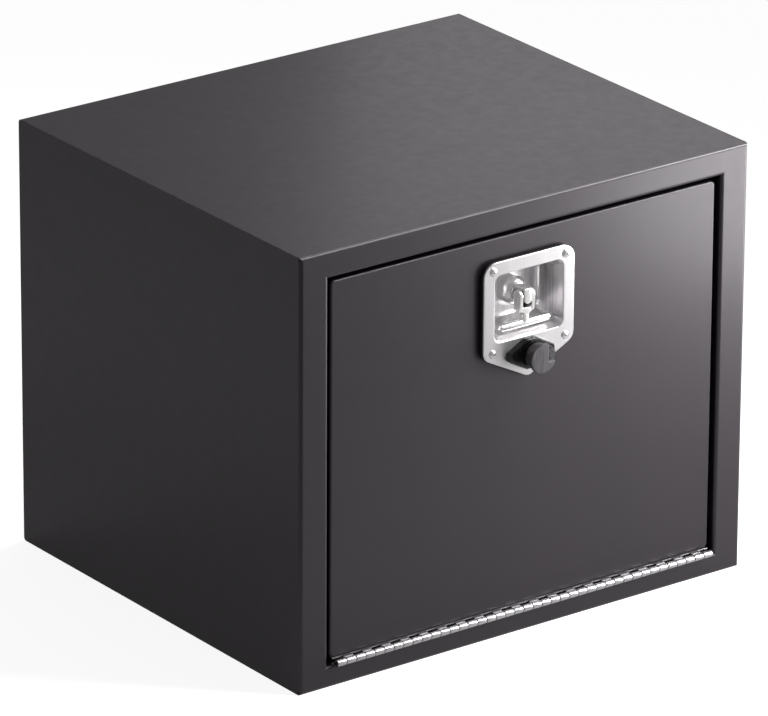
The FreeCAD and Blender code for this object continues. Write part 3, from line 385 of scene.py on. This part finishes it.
def seal_rubber():
    """Extruded cellular rubber: matt black with a fine open grain."""
    made, tree, shader, place = start_finish("cellular_rubber")
    # cells, drawn coarser than the real ones so that they show
    grain = add(tree, "TexNoise", {"Vector": place, "Scale": per_mm(1.2), "Detail": 4.0})
    blend = add(tree, "Mix", {MIX_SHARE: grain.outputs["Fac"], MIX_FIRST: linear("#151415"),
                              MIX_SECOND: linear("#232223")}, data_type="RGBA")
    tree.links.new(blend.outputs[MIXED], shader.inputs["Base Color"])
    bump = add(tree, "Bump", {"Height": grain.outputs["Fac"], "Strength": 0.3, "Distance": 0.2 * MM})
    tree.links.new(bump.outputs[0], shader.inputs["Normal"])
    shader.inputs["Roughness"].default_value = 0.75
    shader.inputs["Specular IOR Level"].default_value = 0.3
    return made


def moulded_plastic(name, dark, pale, smooth, worn):
    """Black moulded plastic with upright rub marks, which are pale and dull where it is gripped."""
    made, tree, shader, place = start_finish(name)
    # rub marks, drawn coarser than real scuffs so that they show
    stretch = add(tree, "Mapping", {"Vector": place, "Scale": (per_mm(3.2), per_mm(9), per_mm(22))})
    rub = add(tree, "TexNoise", {"Vector": stretch.outputs[0], "Scale": 1.0, "Detail": 4.0,
                                 "Roughness": 0.6})
    marks = add(tree, "MapRange", {"Value": rub.outputs["Fac"], "From Min": 0.35, "From Max": 0.65})
    blend = add(tree, "Mix", {MIX_SHARE: marks.outputs[0], MIX_FIRST: linear(dark),
                              MIX_SECOND: linear(pale)}, data_type="RGBA")
    tree.links.new(blend.outputs[MIXED], shader.inputs["Base Color"])
    sheen = add(tree, "MapRange", {"Value": marks.outputs[0], "To Min": smooth, "To Max": worn})
    tree.links.new(sheen.outputs[0], shader.inputs["Roughness"])
    bump = add(tree, "Bump", {"Height": rub.outputs["Fac"], "Strength": 0.1, "Distance": 0.1 * MM})
    tree.links.new(bump.outputs[0], shader.inputs["Normal"])
    shader.inputs["Specular IOR Level"].default_value = 0.4
    return made


FINISHES = {
    "powder_coat": powder_coat(),
    # in the latch's dish the recess tone is painted light and the wall tone is painted shade
    "stainless": stainless("polished_stainless", tones=("#bab8ba", "#cecccd"), painted_recess_tone="#eeecee",
                           painted_wall_shade_tone="#8e8c8e", smooth=0.23, dull=0.27, grain_size=(2.5, 2.5, 80),
                           metallic=0.72),
    "cast_handle": cast_steel(),
    "zinc_steel": zinc_plate(),
    "lock_metal": chrome_plate(),
    "seal_rubber": seal_rubber(),
    "black_plastic": moulded_plastic("moulded_black_plastic", dark="#0e0d0e", pale="#171517", smooth=0.16,
                                     worn=0.3),
}
# on the hinge the recess and wall tones are painted shade, darkening the strip behind the knuckles and seen
# through the slots
ROLLED_HINGE = stainless("rolled_hinge_stainless", tones=("#9c9a9c", "#b2b0b2"), painted_recess_tone="#5c5a5c",
                         painted_wall_shade_tone="#5c5a5c", smooth=0.24, dull=0.3, grain_size=(60, 2.5, 2.5),
                         metallic=0.85)
WORN_CAP = moulded_plastic("worn_cap_plastic", dark="#2e2c2e", pale="#4d4a4d", smooth=0.4, worn=0.55)
# dark pin finish, also used as painted shade on the handle's pocket web
GREASED_STEEL_AND_POCKET_SHADE = pin_wire_and_pocket_shade()
OWN_FINISHES = {"hinge_pin": GREASED_STEEL_AND_POCKET_SHADE}


def finish_solids():
    """Give every solid its own finish or the finish of its slot."""
    for row in frame["record"]["subparts"]:
        solid = NODES[row["node"]]
        for slot in solid.material_slots:
            slot.material = OWN_FINISHES.get(row["node"], FINISHES[row["material_slot"]])


def unit(vectors):
    """Vectors of length one, along the last axis."""
    return vectors / np.linalg.norm(vectors, axis=-1, keepdims=True)


def once_round(steps):
    """Even angles once round, as one row."""
    return np.linspace(0, 2 * math.pi, steps, endpoint=False)[None, :]


def ramp(values, start, length):
    """Share of the way along a straight ramp: 0 before its start and 1 past its end."""
    return np.clip((values - start) / length, 0, 1)


def smooth_step(share):
    """A share eased at both ends: three times its square less twice its cube."""
    return share ** 2 * (3 - 2 * share)


def eased_edge(radius, steps, start=0.0):
    """Edge rounded over a quarter turn: how far it stands out, from below zero up to zero, and how far it
    lies behind the face, by the turn's sine and cosine."""
    turn = np.linspace(start, math.pi / 2, steps)
    return radius * np.sin(turn) - radius, radius * (1 - np.cos(turn))


def grid_faces(rows, columns, loop):
    """Four-sided faces between neighbours of a grid whose columns close; loop closes its rows too."""
    row = np.arange(rows if loop else rows - 1)[:, None]
    column = np.arange(columns)[None, :]
    below, right = (row + 1) % rows, (column + 1) % columns
    corners = np.broadcast_arrays(row * columns + column, row * columns + right,
                                  below * columns + right, below * columns + column)
    return np.stack(corners, axis=-1).reshape(-1, 4)


def volume(points, faces):
    """Signed volume: a sixth of the sum of triple products over the faces' triangles."""
    total = 0.0
    for step in range(1, faces.shape[1] - 1):
        a, b, c = points[faces[:, 0]], points[faces[:, step]], points[faces[:, step + 1]]
        total += np.sum(np.cross(a, b) * c) / 6
    return total


def shell(grid, loop=False):
    """Points, sides and end caps of a closed surface from a grid of rings: flat caps close its open ends,
    and a surface of negative volume is turned right side out."""
    rows, columns = grid.shape[:2]
    points = grid.reshape(-1, 3)
    sides = grid_faces(rows, columns, loop)
    ring = np.arange(columns)
    caps = [] if loop else [ring[::-1], ring + (rows - 1) * columns]
    centred = points - points.mean(0)
    if volume(centred, sides) + sum(volume(centred, cap[None]) for cap in caps) < 0:
        sides, caps = sides[:, ::-1], [cap[::-1] for cap in caps]
    return points, sides, caps


def piece(name, shells, body, slot, sharp=CREASE, finish=None):
    """One mesh object from closed shells in millimetres, riding on a body, with its slot's finish or its
    own."""
    points, faces, start = [], [], 0
    for shell_points, sides, caps in shells:
        points.append(shell_points * MM)
        faces += (sides + start).tolist()
        faces += [(cap + start).tolist() for cap in caps]
        start += len(shell_points)
    mesh = bpy.data.meshes.new(name)
    mesh.from_pydata(np.concatenate(points).tolist(), [], faces)
    mesh.shade_smooth()
    mesh.set_sharp_from_angle(angle=math.radians(sharp))
    mesh.materials.append(finish or FINISHES[slot])
    made = bpy.data.objects.new(name, mesh)
    bpy.context.scene.collection.objects.link(made)
    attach(made, body)
    return made


def rounded_outline(corners, radii, steps=ARC_STEPS):
    """Closed convex outline with round corners: each corner gives way to an arc that touches both its
    sides, centred on the bisector at radius over sine of the half angle, swept by even turning."""
    corners = np.asarray(corners, float)
    radii = np.broadcast_to(np.asarray(radii, float), len(corners))[:, None]
    back = unit(np.roll(corners, 1, 0) - corners)
    ahead = unit(np.roll(corners, -1, 0) - corners)
    bisector = unit(back + ahead)
    half = np.arccos(np.sum(bisector * ahead, 1, keepdims=True))
    centre = corners + bisector * radii / np.sin(half)
    start = (corners + back * radii / np.tan(half) - centre)[:, None]
    end = (corners + ahead * radii / np.tan(half) - centre)[:, None]
    sweep = (math.pi - 2 * half)[:, None]
    share = np.linspace(0, 1, steps)[None, :, None]
    arc = (np.sin((1 - share) * sweep) * start + np.sin(share * sweep) * end) / np.sin(sweep)
    return (centre[:, None] + arc).reshape(-1, 2)


def rectangle_corners(low, high, inset):
    """Corners of a rectangle in X and Z, drawn in by an inset, anticlockwise from the low one."""
    left, bottom = low[0] + inset, low[2] + inset
    right, top = high[0] - inset, high[2] - inset
    return [(left, bottom), (right, bottom), (right, top), (left, top)]


def carry(outline, profile):
    """Rings of a profile carried round an outline in X and Z: a profile point is (outwards, depth), and
    outwards is along the outline's normal, the tangent turned by a right angle."""
    tangent = unit(np.roll(outline, -1, 0) - np.roll(outline, 1, 0))
    normal = np.stack([tangent[:, 1], -tangent[:, 0]], -1)
    flat = outline[None] + profile[:, None, :1] * normal[None]
    depth = np.broadcast_to(profile[:, None, 1], flat.shape[:2])
    return np.stack([flat[..., 0], depth, flat[..., 1]], -1)


def slab(low, high):
    """Flat bar between two corners, its long edges eased: a rounded outline carried along X."""
    corners = [(low[1], low[2]), (high[1], low[2]), (high[1], high[2]), (low[1], high[2])]
    outline = rounded_outline(corners, SLAB_EDGE, SLAB_EDGE_STEPS)
    ends = np.array([low[0], high[0]])[:, None]
    rings = np.broadcast_arrays(ends, outline[None, :, 0], outline[None, :, 1])
    return shell(np.stack(rings, -1))


def door_seal():
    """Bulb seal carried round the opening: half a circle on a flat foot, narrowed above the foot by the
    fourth power of the cosine, and filled out by a power of the sine."""
    outline = rounded_outline(rectangle_corners(SEAL_LOW, SEAL_HIGH, SEAL_WIDTH / 2), SEAL_CORNER)
    angle = np.linspace(0, math.pi, SEAL_STEPS)
    across = SEAL_WIDTH / 2 * np.cos(angle) * (SEAL_WAIST + (1 - SEAL_WAIST) * np.cos(angle) ** 4)
    rise = (SEAL_HIGH[1] - SEAL_LOW[1]) * np.sin(angle) ** SEAL_FULLNESS
    profile = np.stack([across, SEAL_HIGH[1] - rise], -1)
    made = piece("bulb_seal", [shell(carry(outline, profile), loop=True)], "box", "seal_rubber")
    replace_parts(made, "door_seal")


def latch_gasket():
    """Rubber gasket squeezed behind the plate: its edge swells by a half wave of its thickness."""
    half, top = PLATE_HIGH[0] - GASKET_INSET, PLATE_HIGH[2] - GASKET_INSET
    shoulder = PIVOT[2] - PLATE_SHOULDER + GASKET_INSET / 2
    point = PIVOT[2] - PLATE_POINT + GASKET_INSET
    corners = [(half, top), (-half, top), (-half, shoulder), (0, point), (half, shoulder)]
    outline = rounded_outline(corners, np.array(PLATE_ROUNDS) - GASKET_INSET)
    front, back = (corner[1] for corner in corners_mm("latch_gasket"))
    share = np.linspace(0, 1, GASKET_STEPS)
    edge = np.stack([GASKET_BULGE * np.sin(share * math.pi), front + (back - front) * share], -1)
    inner = np.array([[-GASKET_RING, back], [-GASKET_RING, front]])
    rings = carry(outline, np.concatenate([edge, inner]))
    made = piece("squeezed_gasket", [shell(rings, loop=True)], "door", "seal_rubber")
    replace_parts(made, "latch_gasket")


def handle_ear(side):
    """One ear of the fork: an outline with a round head about the pivot, carried along X, with its rim
    eased at each face."""
    corners = [(-EAR_FOOT_HALF, -FORK_FOOT), (EAR_FOOT_HALF, -FORK_FOOT),
               (EAR_ROUND, EAR_ROUND), (-EAR_ROUND, EAR_ROUND)]
    head = EAR_ROUND - ARC_SLACK
    outline = rounded_outline(corners, [EAR_FOOT_ROUND, EAR_FOOT_ROUND, head, head])
    inset, behind = eased_edge(EAR_RIM, EAR_RIM_STEPS)
    x = np.concatenate([EAR_INSIDE + behind, EAR_OUTSIDE - behind[::-1]])
    rings = carry(outline, np.stack([np.concatenate([inset, inset[::-1]]), side * x], -1))
    return shell(rings[..., [1, 0, 2]] + PIVOT)


def handle_shank():
    """Web and stem: sections that powers of the cosine and sine square off, wide at the fork, necked by a
    smooth step, and flared by a square into the bar."""
    rows, columns = SHANK_GRID
    share = np.linspace(0, 1, rows)[:, None]
    angle = once_round(columns)
    neck = ramp(share, NECK_START, NECK_LENGTH)
    flare = ramp(share, FLARE_START, 1 - FLARE_START)
    wide = EAR_OUTSIDE + (STEM_HALF - EAR_OUTSIDE) * smooth_step(neck) + BAR_FLARE * flare ** 2
    deep = WEB_DEEP + (STEM_DEEP - WEB_DEEP) * neck
    round_cos = np.sign(np.cos(angle)) * np.abs(np.cos(angle)) ** SHANK_POWER
    round_sin = np.sign(np.sin(angle)) * np.abs(np.sin(angle)) ** SHANK_POWER
    drop = -FORK_SLOT - (BAR_DROP - FORK_SLOT) * share
    rings = np.broadcast_arrays(wide * round_cos, deep * round_sin, drop)
    return shell(np.stack(rings, -1) + PIVOT)


def slot_corner(side):
    """Round corner in the bottom of the fork's slot: the square corner less a quarter circle, along Y."""
    inset, behind = eased_edge(SLOT_ROUND, SLOT_STEPS)
    x = EAR_INSIDE + SLOT_OVERLAP - np.concatenate([[0.0], behind, [SLOT_ROUND]])[::-1]
    z = -FORK_SLOT - SLOT_OVERLAP - np.concatenate([[0.0], inset, [0.0]])[::-1]
    ends = np.array([-SLOT_DEEP, SLOT_DEEP])[:, None]
    rings = np.broadcast_arrays(side * x[None], ends, z[None])
    return shell(np.stack(rings, -1) + PIVOT)


def handle_bar():
    """Cross bar: a round rod that thins evenly to each end, where a circle draws it in to a ball. Its
    rings follow a sine, so that they lie closer towards the ends."""
    rows, columns = BAR_GRID
    share = np.sin(np.linspace(-math.pi / 2, math.pi / 2, rows))[:, None]
    angle = once_round(columns)
    tip = np.clip((1 - np.abs(share)) * BAR_HALF / BAR_TIP, 0, 1)
    ball = np.sqrt(1 - BLUNT_SHARE * (1 - tip) ** 2)
    radius = (BAR_THICK + (BAR_TIP - BAR_THICK) * np.abs(share)) * ball
    rings = np.broadcast_arrays(BAR_HALF * share, radius * np.cos(angle), radius * np.sin(angle) - BAR_DROP)
    return shell(np.stack(rings, -1) + PIVOT)


def melt_together(made):
    """Fuse a piece's overlapping shells into one skin on a fine grid, then ease its inner corners."""
    fuse = made.modifiers.new("fuse", "REMESH")
    fuse.mode = "VOXEL"
    fuse.voxel_size = MELT_CELL * MM
    fuse.use_smooth_shade = True
    ease = made.modifiers.new("ease", "SMOOTH")
    ease.iterations = MELT_PASSES
    skin = bpy.data.meshes.new_from_object(made.evaluated_get(bpy.context.evaluated_depsgraph_get()))
    made.modifiers.clear()
    made.data = skin


def t_handle():
    """Folding handle as one casting: fork, stem and cross bar run into each other."""
    shells = [handle_ear(1), handle_ear(-1), slot_corner(1), slot_corner(-1), handle_shank(), handle_bar()]
    made = piece("cast_t_handle", shells, "t_handle", "cast_handle")
    melt_together(made)
    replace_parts(made, "handle_stem", "handle_bar")


def painted_pocket_shade():
    """Web that closes the back of the fork's slot below the tongue, a dark sheet that paints the shade in
    the slot's pocket: a flat bar between the ears."""
    near, far = POCKET_BACK
    reach = EAR_INSIDE + POCKET_OVERLAP
    low = PIVOT + (-reach, near, -FORK_SLOT - POCKET_OVERLAP)
    high = PIVOT + (reach, far, -POCKET_TOP)
    # painted shade: the pin wire's dark finish makes the pocket look black
    piece("painted_pocket_shade", [slab(low, high)], "t_handle", "cast_handle", finish=GREASED_STEEL_AND_POCKET_SHADE)


def forged_tongue():
    """Nose of the spindle: an upright bar with a round lower end, carried back to the collar, with its
    front edge eased."""
    corners = [(-TONGUE_HALF, -TONGUE_FOOT), (TONGUE_HALF, -TONGUE_FOOT),
               (TONGUE_HALF, TONGUE_TOP), (-TONGUE_HALF, TONGUE_TOP)]
    foot = TONGUE_HALF - ARC_SLACK
    outline = rounded_outline(corners, [foot, foot, TONGUE_SHOULDER, TONGUE_SHOULDER]) + PIVOT[[0, 2]]
    inset, behind = eased_edge(TONGUE_EDGE, TONGUE_EDGE_STEPS)
    edge = np.stack([inset, PIVOT[1] + TONGUE_FRONT + behind], -1)
    profile = np.concatenate([edge, [[0.0, PIVOT[1] + TONGUE_BACK]]])
    piece("forged_tongue", [shell(carry(outline, profile))], "spindle", "cast_handle")


def spun(profile):
    """Rings of a profile turned about the lock's axis; a profile point is (depth, radius)."""
    angle = once_round(CAP_SIDES)
    depth, radius = profile[:, :1], profile[:, 1:]
    rings = np.broadcast_arrays(radius * np.cos(angle), depth, LOCK_Z + radius * np.sin(angle))
    return np.stack(rings, -1)


def lock_cap():
    """Push-on cap: a low dome whose height falls with the square of the radius, a rim and a stepped
    skirt. Right of a chord the face sinks by a smooth step, and thumb ribs stand in that recess."""
    front, back = (corner[1] for corner in corners_mm("lock_cap"))
    dome, floor, rim_back = front + CAP_SET_BACK, front + CAP_FACE_THICK, front + CAP_RIM
    share = np.linspace(CAP_MIDDLE, 1, CAP_FACE_STEPS)
    face = np.stack([dome + CAP_DOME * share ** 2, (CAP_RADIUS - CAP_BEVEL) * share], -1)
    inset, behind = eased_edge(CAP_BEVEL, CAP_BEVEL_STEPS, CAP_BEVEL_START)
    bevel = np.stack([dome + CAP_DOME + behind, CAP_RADIUS + inset], -1)
    step = (back - rim_back) / SKIRT_STEPS
    skirt = [(rim_back - CAP_RIM_EDGE, CAP_RADIUS), (rim_back, CAP_RADIUS - CAP_RIM_EDGE)]
    for index in range(SKIRT_STEPS):
        start, radius = rim_back + step * index, CAP_SKIRT - STEP_IN * index
        skirt += [(start, radius - STEP_NICK), (start + STEP_LEAD, radius)]
        skirt.append((start + step - STEP_TAIL, radius))
    inside = [(back, CAP_BORE + CAP_BORE_EDGE), (back, CAP_BORE), (floor + CAP_BORE_EDGE, CAP_BORE),
              (floor, CAP_BORE - CAP_BORE_EDGE), (floor, CAP_BORE_MIDDLE)]
    rings = spun(np.concatenate([face, bevel, skirt, inside]))
    right = smooth_step(ramp(rings[..., 0], GRIP_START, GRIP_SLOPE))
    above = smooth_step(ramp(rings[..., 2] - LOCK_Z, GRIP_LOW - GRIP_MARGIN, GRIP_SLOPE))
    outer = np.arange(len(rings))[:, None] < len(face) + len(bevel) - 1
    rings[..., 1] += np.where(outer, GRIP_SINK * right * above, 0)
    shells = [shell(rings)] + [grip_rib(front, z) for z in np.linspace(GRIP_LOW, GRIP_HIGH, GRIP_RIBS)]
    made = piece("tabbed_cap", shells, "lock_cap", "black_plastic", finish=WORN_CAP)
    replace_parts(made, "lock_cap")


def grip_rib(front, z):
    """One thumb rib: an oval bar along X, half sunk in the recess, from its edge to the cap's round rim,
    with its ends drawn in by a high power of the way along."""
    rows, columns = RIB_GRID
    share = np.linspace(-1, 1, rows)[:, None]
    angle = once_round(columns)
    end = np.sqrt(1 - BLUNT_SHARE * np.abs(share) ** RIB_END_POWER)
    near, far = GRIP_START + GRIP_SLOPE, math.sqrt((CAP_RADIUS - RIB_INSET) ** 2 - z ** 2)
    x = (near + far) / 2 + share * (far - near) / 2
    depth = front + GRIP_SINK - RIB_LIFT + RIB_RISE * end * np.sin(angle)
    height = LOCK_Z + z + RIB_HALF * end * np.cos(angle)
    return shell(np.stack(np.broadcast_arrays(x, depth, height), -1))


def knuckle(middle):
    """One rolled knuckle about the pin: a tube whose outer edges are eased."""
    half = (KNUCKLE_PITCH - KNUCKLE_GAP) / 2
    inset, behind = eased_edge(KNUCKLE_ROUND, KNUCKLE_ROUND_STEPS)
    x, outer = half + inset, BARREL_RADIUS - behind
    profile = np.concatenate([np.stack([-x, outer], -1)[::-1], np.stack([x, outer], -1),
                              [[half, PIN_RADIUS], [-half, PIN_RADIUS]]])
    along, radius = middle + profile[:, :1], profile[:, 1:]
    angle = once_round(KNUCKLE_SIDES)
    rings = np.broadcast_arrays(along, HINGE[1] + radius * np.cos(angle), HINGE[2] + radius * np.sin(angle))
    return shell(np.stack(rings, -1), loop=True)


def hinge_leaf(name, node, body, first, bottom):
    """One leaf of the long hinge: every second knuckle, a tongue to each, and the strip they share."""
    start, end = (corner[0] for corner in corners_mm(node))
    middles = np.arange(start + KNUCKLE_PITCH * first + KNUCKLE_PITCH / 2, end, 2 * KNUCKLE_PITCH)
    half = (KNUCKLE_PITCH - KNUCKLE_GAP) / 2
    near, slot, back = (HINGE[1] + reach for reach in (PIN_RADIUS, SLOT_REACH, LEAF_REACH))
    top = bottom + LEAF_THICK
    shells = [knuckle(middle) for middle in middles]
    shells += [slab((middle - half, near, bottom), (middle + half, slot + LEAF_OVERLAP, top))
               for middle in middles]
    shells.append(slab((start, slot, bottom), (end, back, top)))
    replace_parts(piece(name, shells, body, "stainless", finish=ROLLED_HINGE), node)


def bead(start, end):
    """Weld bead along a straight seam: a tube whose radius ripples at the welder's pitch, with two
    slower waves that don't repeat in step; the ripple is the sum of three sines."""
    start, end = np.asarray(start, float), np.asarray(end, float)
    length = np.linalg.norm(end - start)
    run = np.linspace(0, length, int(length / BEAD_STEP))[:, None]
    wave = 2 * math.pi * run / BEAD_PITCH
    ripple = sum(size * np.sin(rate * wave + phase) for size, rate, phase in BEAD_RIPPLES)
    radius = BEAD_RADIUS * (1 + ripple)
    along = unit(end - start)
    side = unit(np.cross(along, SKEW))
    other = np.cross(along, side)
    angle = once_round(BEAD_SIDES)[..., None]
    ring = np.cos(angle) * side + np.sin(angle) * other
    return shell(start + run[..., None] * along + radius[..., None] * ring)


def end_welds(side):
    """Seam of one end: beads along its top, back and bottom edges."""
    x = side * (BOX_HIGH[0] - BEAD_SINK)
    front, back = BOX_LOW[1] + BEAD_FRONT, BOX_HIGH[1] - BEAD_SINK
    top, bottom = BOX_HIGH[2] - BEAD_SINK, BOX_LOW[2] + BEAD_RADIUS + BEAD_LIFT
    shells = [
        bead((x, front, top), (x, back - BEAD_STOP, top)),
        bead((x, back, top - BEAD_STOP), (x, back, bottom + BEAD_STOP)),
        bead((x, front, bottom), (x, back - BEAD_STOP, bottom)),
    ]
    name = "weld_seam_left" if side < 0 else "weld_seam_right"
    piece(name, shells, "box", "powder_coat", sharp=WELD_CREASE)


def plug_welds():
    """Ground plug welds round the liner: shallow lenses, a cosine rise over a disc."""
    spread = np.linspace(-1, 1, PLUGS_ACROSS) * (LINER_HIGH[0] - PLUG_SIDE_MARGIN)
    heights = np.linspace(LINER_LOW[2] + PLUG_END_MARGIN, LINER_HIGH[2] - PLUG_END_MARGIN, PLUGS_UP)
    top, bottom = LINER_HIGH[2] - PLUG_INSET, LINER_LOW[2] + PLUG_INSET
    side = LINER_HIGH[0] - PLUG_INSET
    places = [(x, z) for x in spread for z in (bottom, top)]
    places += [(x, z) for z in heights for x in (-side, side)]
    rows, columns = PLUG_GRID
    share = np.linspace(1, PLUG_MIDDLE, rows)[:, None]
    angle = once_round(columns)
    rise = np.concatenate([[[-PLUG_ROOT]], PLUG_RISE * (1 + np.cos(math.pi * share)) / 2])
    radius = PLUG_RADIUS * np.concatenate([[[1.0]], share])
    rings = np.broadcast_arrays(radius * np.cos(angle), LINER_HIGH[1] + rise, radius * np.sin(angle))
    lens = np.stack(rings, -1)
    shells = [shell(lens + (x, 0, z)) for x, z in places]
    piece("liner_plug_welds", shells, "door", "powder_coat", sharp=WELD_CREASE)


def seen_rays(tree):
    """How far a ray shows the pale surroundings: fully from the camera and through glass, and by a share
    in reflections, where a real room is dimmer than its paper sweep."""
    path = add(tree, "LightPath")
    mirrored = add(tree, "Math", {0: path.outputs["Is Glossy Ray"], 1: MIRRORED_SHARE},
                   operation="MULTIPLY")
    either = add(tree, "Math", {0: path.outputs["Is Camera Ray"], 1: mirrored.outputs[0]},
                 operation="MAXIMUM")
    return add(tree, "Math", {0: either.outputs[0], 1: path.outputs["Is Transmission Ray"]},
               operation="MAXIMUM").outputs[0]


def white_world():
    """World that looks white and lights the object softly."""
    world = bpy.data.worlds.new("studio")
    bpy.context.scene.world = world
    world.use_nodes = True
    tree = world.node_tree
    tree.nodes.clear()
    strength = add(tree, "MapRange", {"Value": seen_rays(tree), "To Min": AMBIENT, "To Max": 1.0})
    sky = add(tree, "Background", {"Strength": strength.outputs[0]})
    add(tree, "OutputWorld", {"Surface": sky.outputs[0]})


def pale_floor():
    """Pale paper floor with a glow that only seen rays meet, so that it looks white and keeps the
    object's shadow."""
    paper_finish = bpy.data.materials.new("pale_floor")
    paper_finish.use_nodes = True
    tree = paper_finish.node_tree
    tree.nodes.clear()
    paper = add(tree, "BsdfDiffuse", {"Color": linear("#d5d5d5")})
    glow = add(tree, "Emission", {"Strength": FLOOR_GLOW})
    lit = add(tree, "AddShader", {0: paper.outputs[0], 1: glow.outputs[0]})
    mixed = add(tree, "MixShader", {0: seen_rays(tree), 1: paper.outputs[0], 2: lit.outputs[0]})
    add(tree, "OutputMaterial", {"Surface": mixed.outputs[0]})
    mesh = bpy.data.meshes.new("floor")
    corners = [(x * FLOOR_REACH, y * FLOOR_REACH, 0) for x, y in ((-1, -1), (1, -1), (1, 1), (-1, 1))]
    mesh.from_pydata(corners, [], [(0, 1, 2, 3)])
    mesh.materials.append(paper_finish)
    floor = bpy.data.objects.new("floor", mesh)
    bpy.context.scene.collection.objects.link(floor)


def softbox(name, place, target, size, glow, spread):
    """Rectangular soft light with a grid on its face, aimed at a target. glow is its face's brightness
    straight ahead, which the power follows from the spread's half angle a by 1 - a / tan(a)."""
    lamp = bpy.data.lights.new(name, "AREA")
    lamp.shape = "RECTANGLE"
    lamp.size, lamp.size_y = size
    half = math.radians(spread) / 2
    lamp.spread = 2 * half
    lamp.energy = glow * math.pi * size[0] * size[1] * (1 - half / math.tan(half))
    made = bpy.data.objects.new(name, lamp)
    made.location = place
    made.rotation_euler = (Vector(target) - Vector(place)).to_track_quat("-Z", "Y").to_euler()
    bpy.context.scene.collection.objects.link(made)


def camera():
    """The photograph's view: turned by yaw, tipped down by pitch, then rolled about its line of sight."""
    yaw, pitch, roll = (math.radians(angle) for angle in (CAMERA_YAW, CAMERA_PITCH, CAMERA_ROLL))
    right = Vector((math.cos(yaw), math.sin(yaw), 0))
    ahead = Vector((-math.sin(yaw) * math.cos(pitch), math.cos(yaw) * math.cos(pitch), -math.sin(pitch)))
    up = right.cross(ahead)
    turn = Matrix((right, up, -ahead)).transposed() @ Matrix.Rotation(roll, 3, "Z")
    lens = bpy.data.cameras.new("photo_camera")
    lens.sensor_width = SENSOR_WIDTH
    lens.lens = FOCAL_PIXELS / PHOTO_WIDTH * SENSOR_WIDTH
    lens.clip_end = VIEW_REACH
    made = bpy.data.objects.new("photo_camera", lens)
    made.matrix_world = Matrix.Translation(Vector(CAMERA_PLACE) * MM) @ turn.to_4x4()
    bpy.context.scene.collection.objects.link(made)
    bpy.context.scene.camera = made


finish_solids()
door_seal()
latch_gasket()
t_handle()
painted_pocket_shade()
forged_tongue()
lock_cap()
hinge_leaf("rolled_frame_leaf", "hinge_frame_leaf", "box", 0, HINGE[2] - BARREL_RADIUS)
hinge_leaf("rolled_door_leaf", "hinge_door_leaf", "door", 1, HINGE[2] + BARREL_RADIUS - LEAF_THICK)
end_welds(-1)
end_welds(1)
plug_welds()
white_world()
pale_floor()
for softbox_name, settings in SOFTBOXES.items():
    softbox(softbox_name, *settings)
camera()
bpy.context.scene.view_settings.view_transform = "Standard"
